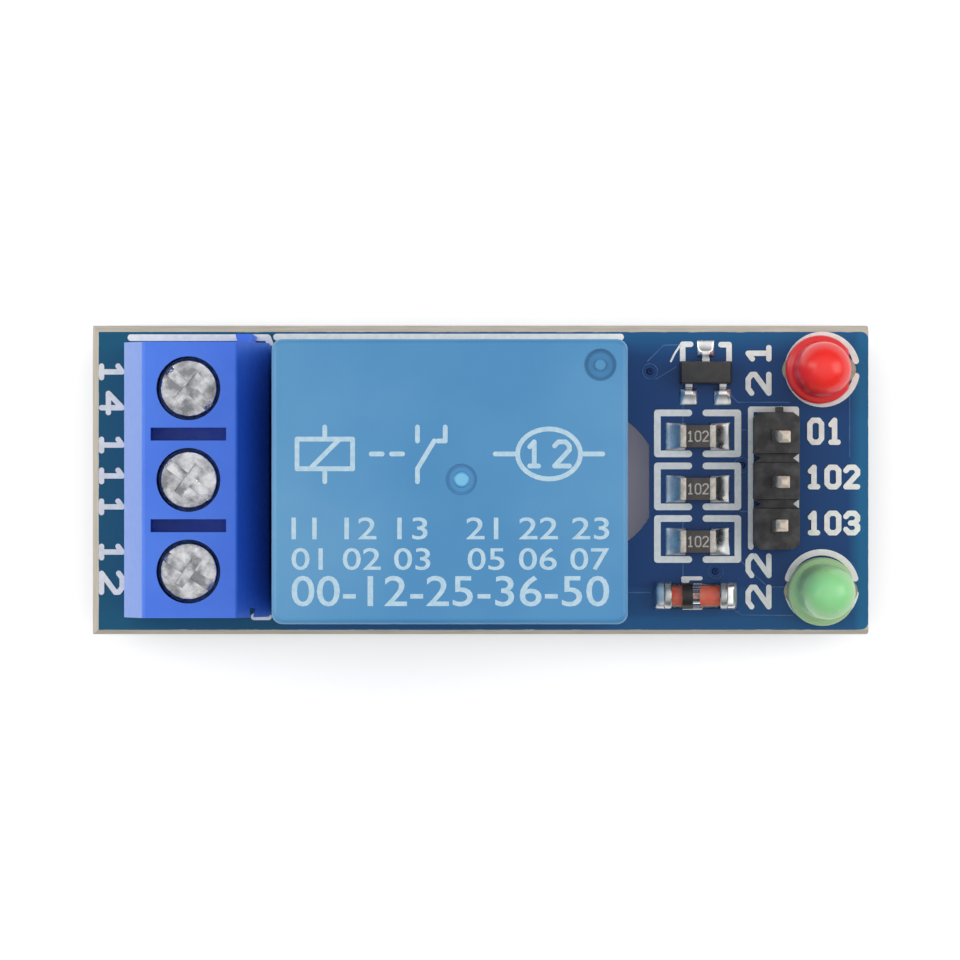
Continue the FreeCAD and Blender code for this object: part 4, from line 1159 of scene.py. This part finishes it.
# Each kind with the ends it climbs, its climb, its reach, its hollow, its film and the mesh step.
fillets = (
    ("resistor", [box for i in (1, 2, 3) for box in islands("resistor_%d_caps" % i)],
     0.36 * mm, 0.75 * mm, 2.2, 0.07 * mm, 0.05 * mm),
    ("transistor", islands("transistor_leads"), 0.2 * mm, 0.55 * mm, 2.0, 0.12 * mm, 0.04 * mm),
    ("diode", islands("diode_end_caps"), 0.95 * mm, 1.5 * mm, 0.4, 0.12 * mm, 0.05 * mm))
for name, ends, *form in fillets:
    mounds = []
    for pad in islands(name + "_solder"):
        nearest = min(ends, key=lambda box: (middle(box) - middle(pad)).length)
        mounds.append(mound(pad, nearest, *form))
    piece(name + "_fillets", joined_mesh(name + "_fillets", mounds, solder_paint), "solder",
          name + "_solder", angle=60)


# Solder under the board. Every pin ends in a shiny cone that hollows in from its pad to the pin,
# and the lamps show a dull tinned pad on top as well.
cone_sides = 28
cone_steps = 10
cone_hollow = 2.4
cone_tip = 0.42
pad_sides = 36


def cones_tree():
    """A hollow-sided cone of solder at each point, pointing down."""
    group, given = make_tree("solder_cones", "Pad", "Tip", "Height")
    bar = add_node(group, "GeometryNodeMeshCylinder", ("Vertices", cone_sides), ("Side Segments", cone_steps),
                   ("Radius", 1.0), ("Depth", 1.0))
    spot = axes_node(group, add_node(group, "GeometryNodeInputPosition").outputs[0])
    share = math_node(group, "ADD", spot["Z"], 0.5)
    spread = math_node(group, "SUBTRACT", given["Pad"], given["Tip"])
    extra = math_node(group, "MULTIPLY", math_node(group, "POWER", share, cone_hollow), spread)
    radius = math_node(group, "ADD", extra, given["Tip"])
    drop = math_node(group, "MULTIPLY", math_node(group, "SUBTRACT", share, 1.0), given["Height"])
    moved = add_node(group, "ShaderNodeCombineXYZ", ("X", math_node(group, "MULTIPLY", spot["X"], radius)),
                     ("Y", math_node(group, "MULTIPLY", spot["Y"], radius)), ("Z", drop)).outputs[0]
    cone = add_node(group, "GeometryNodeSetPosition", ("Geometry", bar.outputs["Mesh"]), ("Position", moved))
    placed = add_node(group, "GeometryNodeInstanceOnPoints", ("Points", given["Geometry"]),
                      ("Instance", cone.outputs[0]))
    return close_tree(group, placed.outputs[0], given["Material"])


solder_cones = cones_tree()
pad_paint = finish("dull_tin", rgb(176, 170, 152), rgb(150, 146, 130), patch_scale=1800, grain=2500,
                   rough=(0.5, 0.65), Metallic=0.6)
for name in ("relay", "terminal", "header", "lamp"):
    boxes = islands(name + "_solder")
    cones = [(round((box[1].x - box[0].x) / 2, 6), middle(box), box[0].z) for box in boxes if box[1].z < deck]
    meshes = []
    for size in sorted({cone[0] for cone in cones}):
        points = [(place.x, place.y, under) for radius, place, _ in cones if radius == size]
        group = grown("cones", point_mesh("cones", points), solder_cones, pad=size, tip=size * cone_tip,
                      height=under - cones[0][2], material=solder_paint)
        meshes.append(group.data)
        bpy.data.objects.remove(group)
    pads = []
    for low, high in (box for box in boxes if box[1].z > deck):
        radius = (high.x - low.x) / 2
        outline = [(0, deck - overlap), (radius, deck - overlap), (radius - 0.03 * mm, deck + 0.05 * mm),
                   (radius * 0.7, high.z), (0, high.z)]
        ring = lathe("ring", outline, pad_sides)
        ring.transform(Matrix.Translation(((low.x + high.x) / 2, (low.y + high.y) / 2, 0)))
        pads.append(ring)
    if pads:
        piece(name + "_pads", joined_mesh("pads", pads, pad_paint), "solder", angle=50)
    piece(name + "_joints", joined_mesh(name, meshes, solder_paint), "solder", name + "_solder", angle=50)


# Inside the relay. A wound coil on its bobbin pulls an iron armature, which moves a bronze
# spring with a silver contact between two fixed contacts.
dress(finish("base_plastic", rgb(38, 44, 54), rgb(48, 54, 64), rough=(0.4, 0.55)), "relay_base")
dress(finish("bobbin_plastic", rgb(208, 204, 192), rgb(192, 188, 176), rough=(0.4, 0.55)), "relay_bobbin")
iron = finish("soft_iron", rgb(168, 166, 160), rgb(140, 138, 134), rough=(0.3, 0.48), relief=0.3,
              Metallic=1.0)
dress(iron, "relay_core", "relay_yoke", "relay_armature")
bronze = finish("spring_bronze", rgb(206, 158, 110), rgb(188, 140, 96), rough=(0.22, 0.36), Metallic=1.0)
dress(bronze, "relay_contact_spring")
silver = finish("contact_silver", rgb(222, 220, 214), rgb(196, 194, 188), rough=(0.2, 0.36), Metallic=1.0)
dress(silver, "relay_moving_contact")
dress(tinned, "relay_open_contact", "relay_closed_contact", "relay_common_terminal", "relay_coil_pins")
winding_paint = finish("winding_wire", rgb(190, 104, 62), rgb(160, 80, 46), patch_scale=1500,
                       rough=(0.25, 0.4), Metallic=0.8)
wire_scale = 2600.0
wire_relief = 0.6
wire_depth = 0.05 * mm
tree = winding_paint.node_tree
wires = add_node(tree, "ShaderNodeTexWave", ("Vector", where_node(tree)), ("Scale", wire_scale),
                 bands_direction="Z").outputs["Fac"]
wire_bump = add_node(tree, "ShaderNodeBump", ("Height", wires), ("Strength", wire_relief),
                     ("Distance", wire_depth))
feed(tree.nodes["Principled BSDF"], "Normal", wire_bump.outputs["Normal"])
dress(winding_paint, "relay_coil")
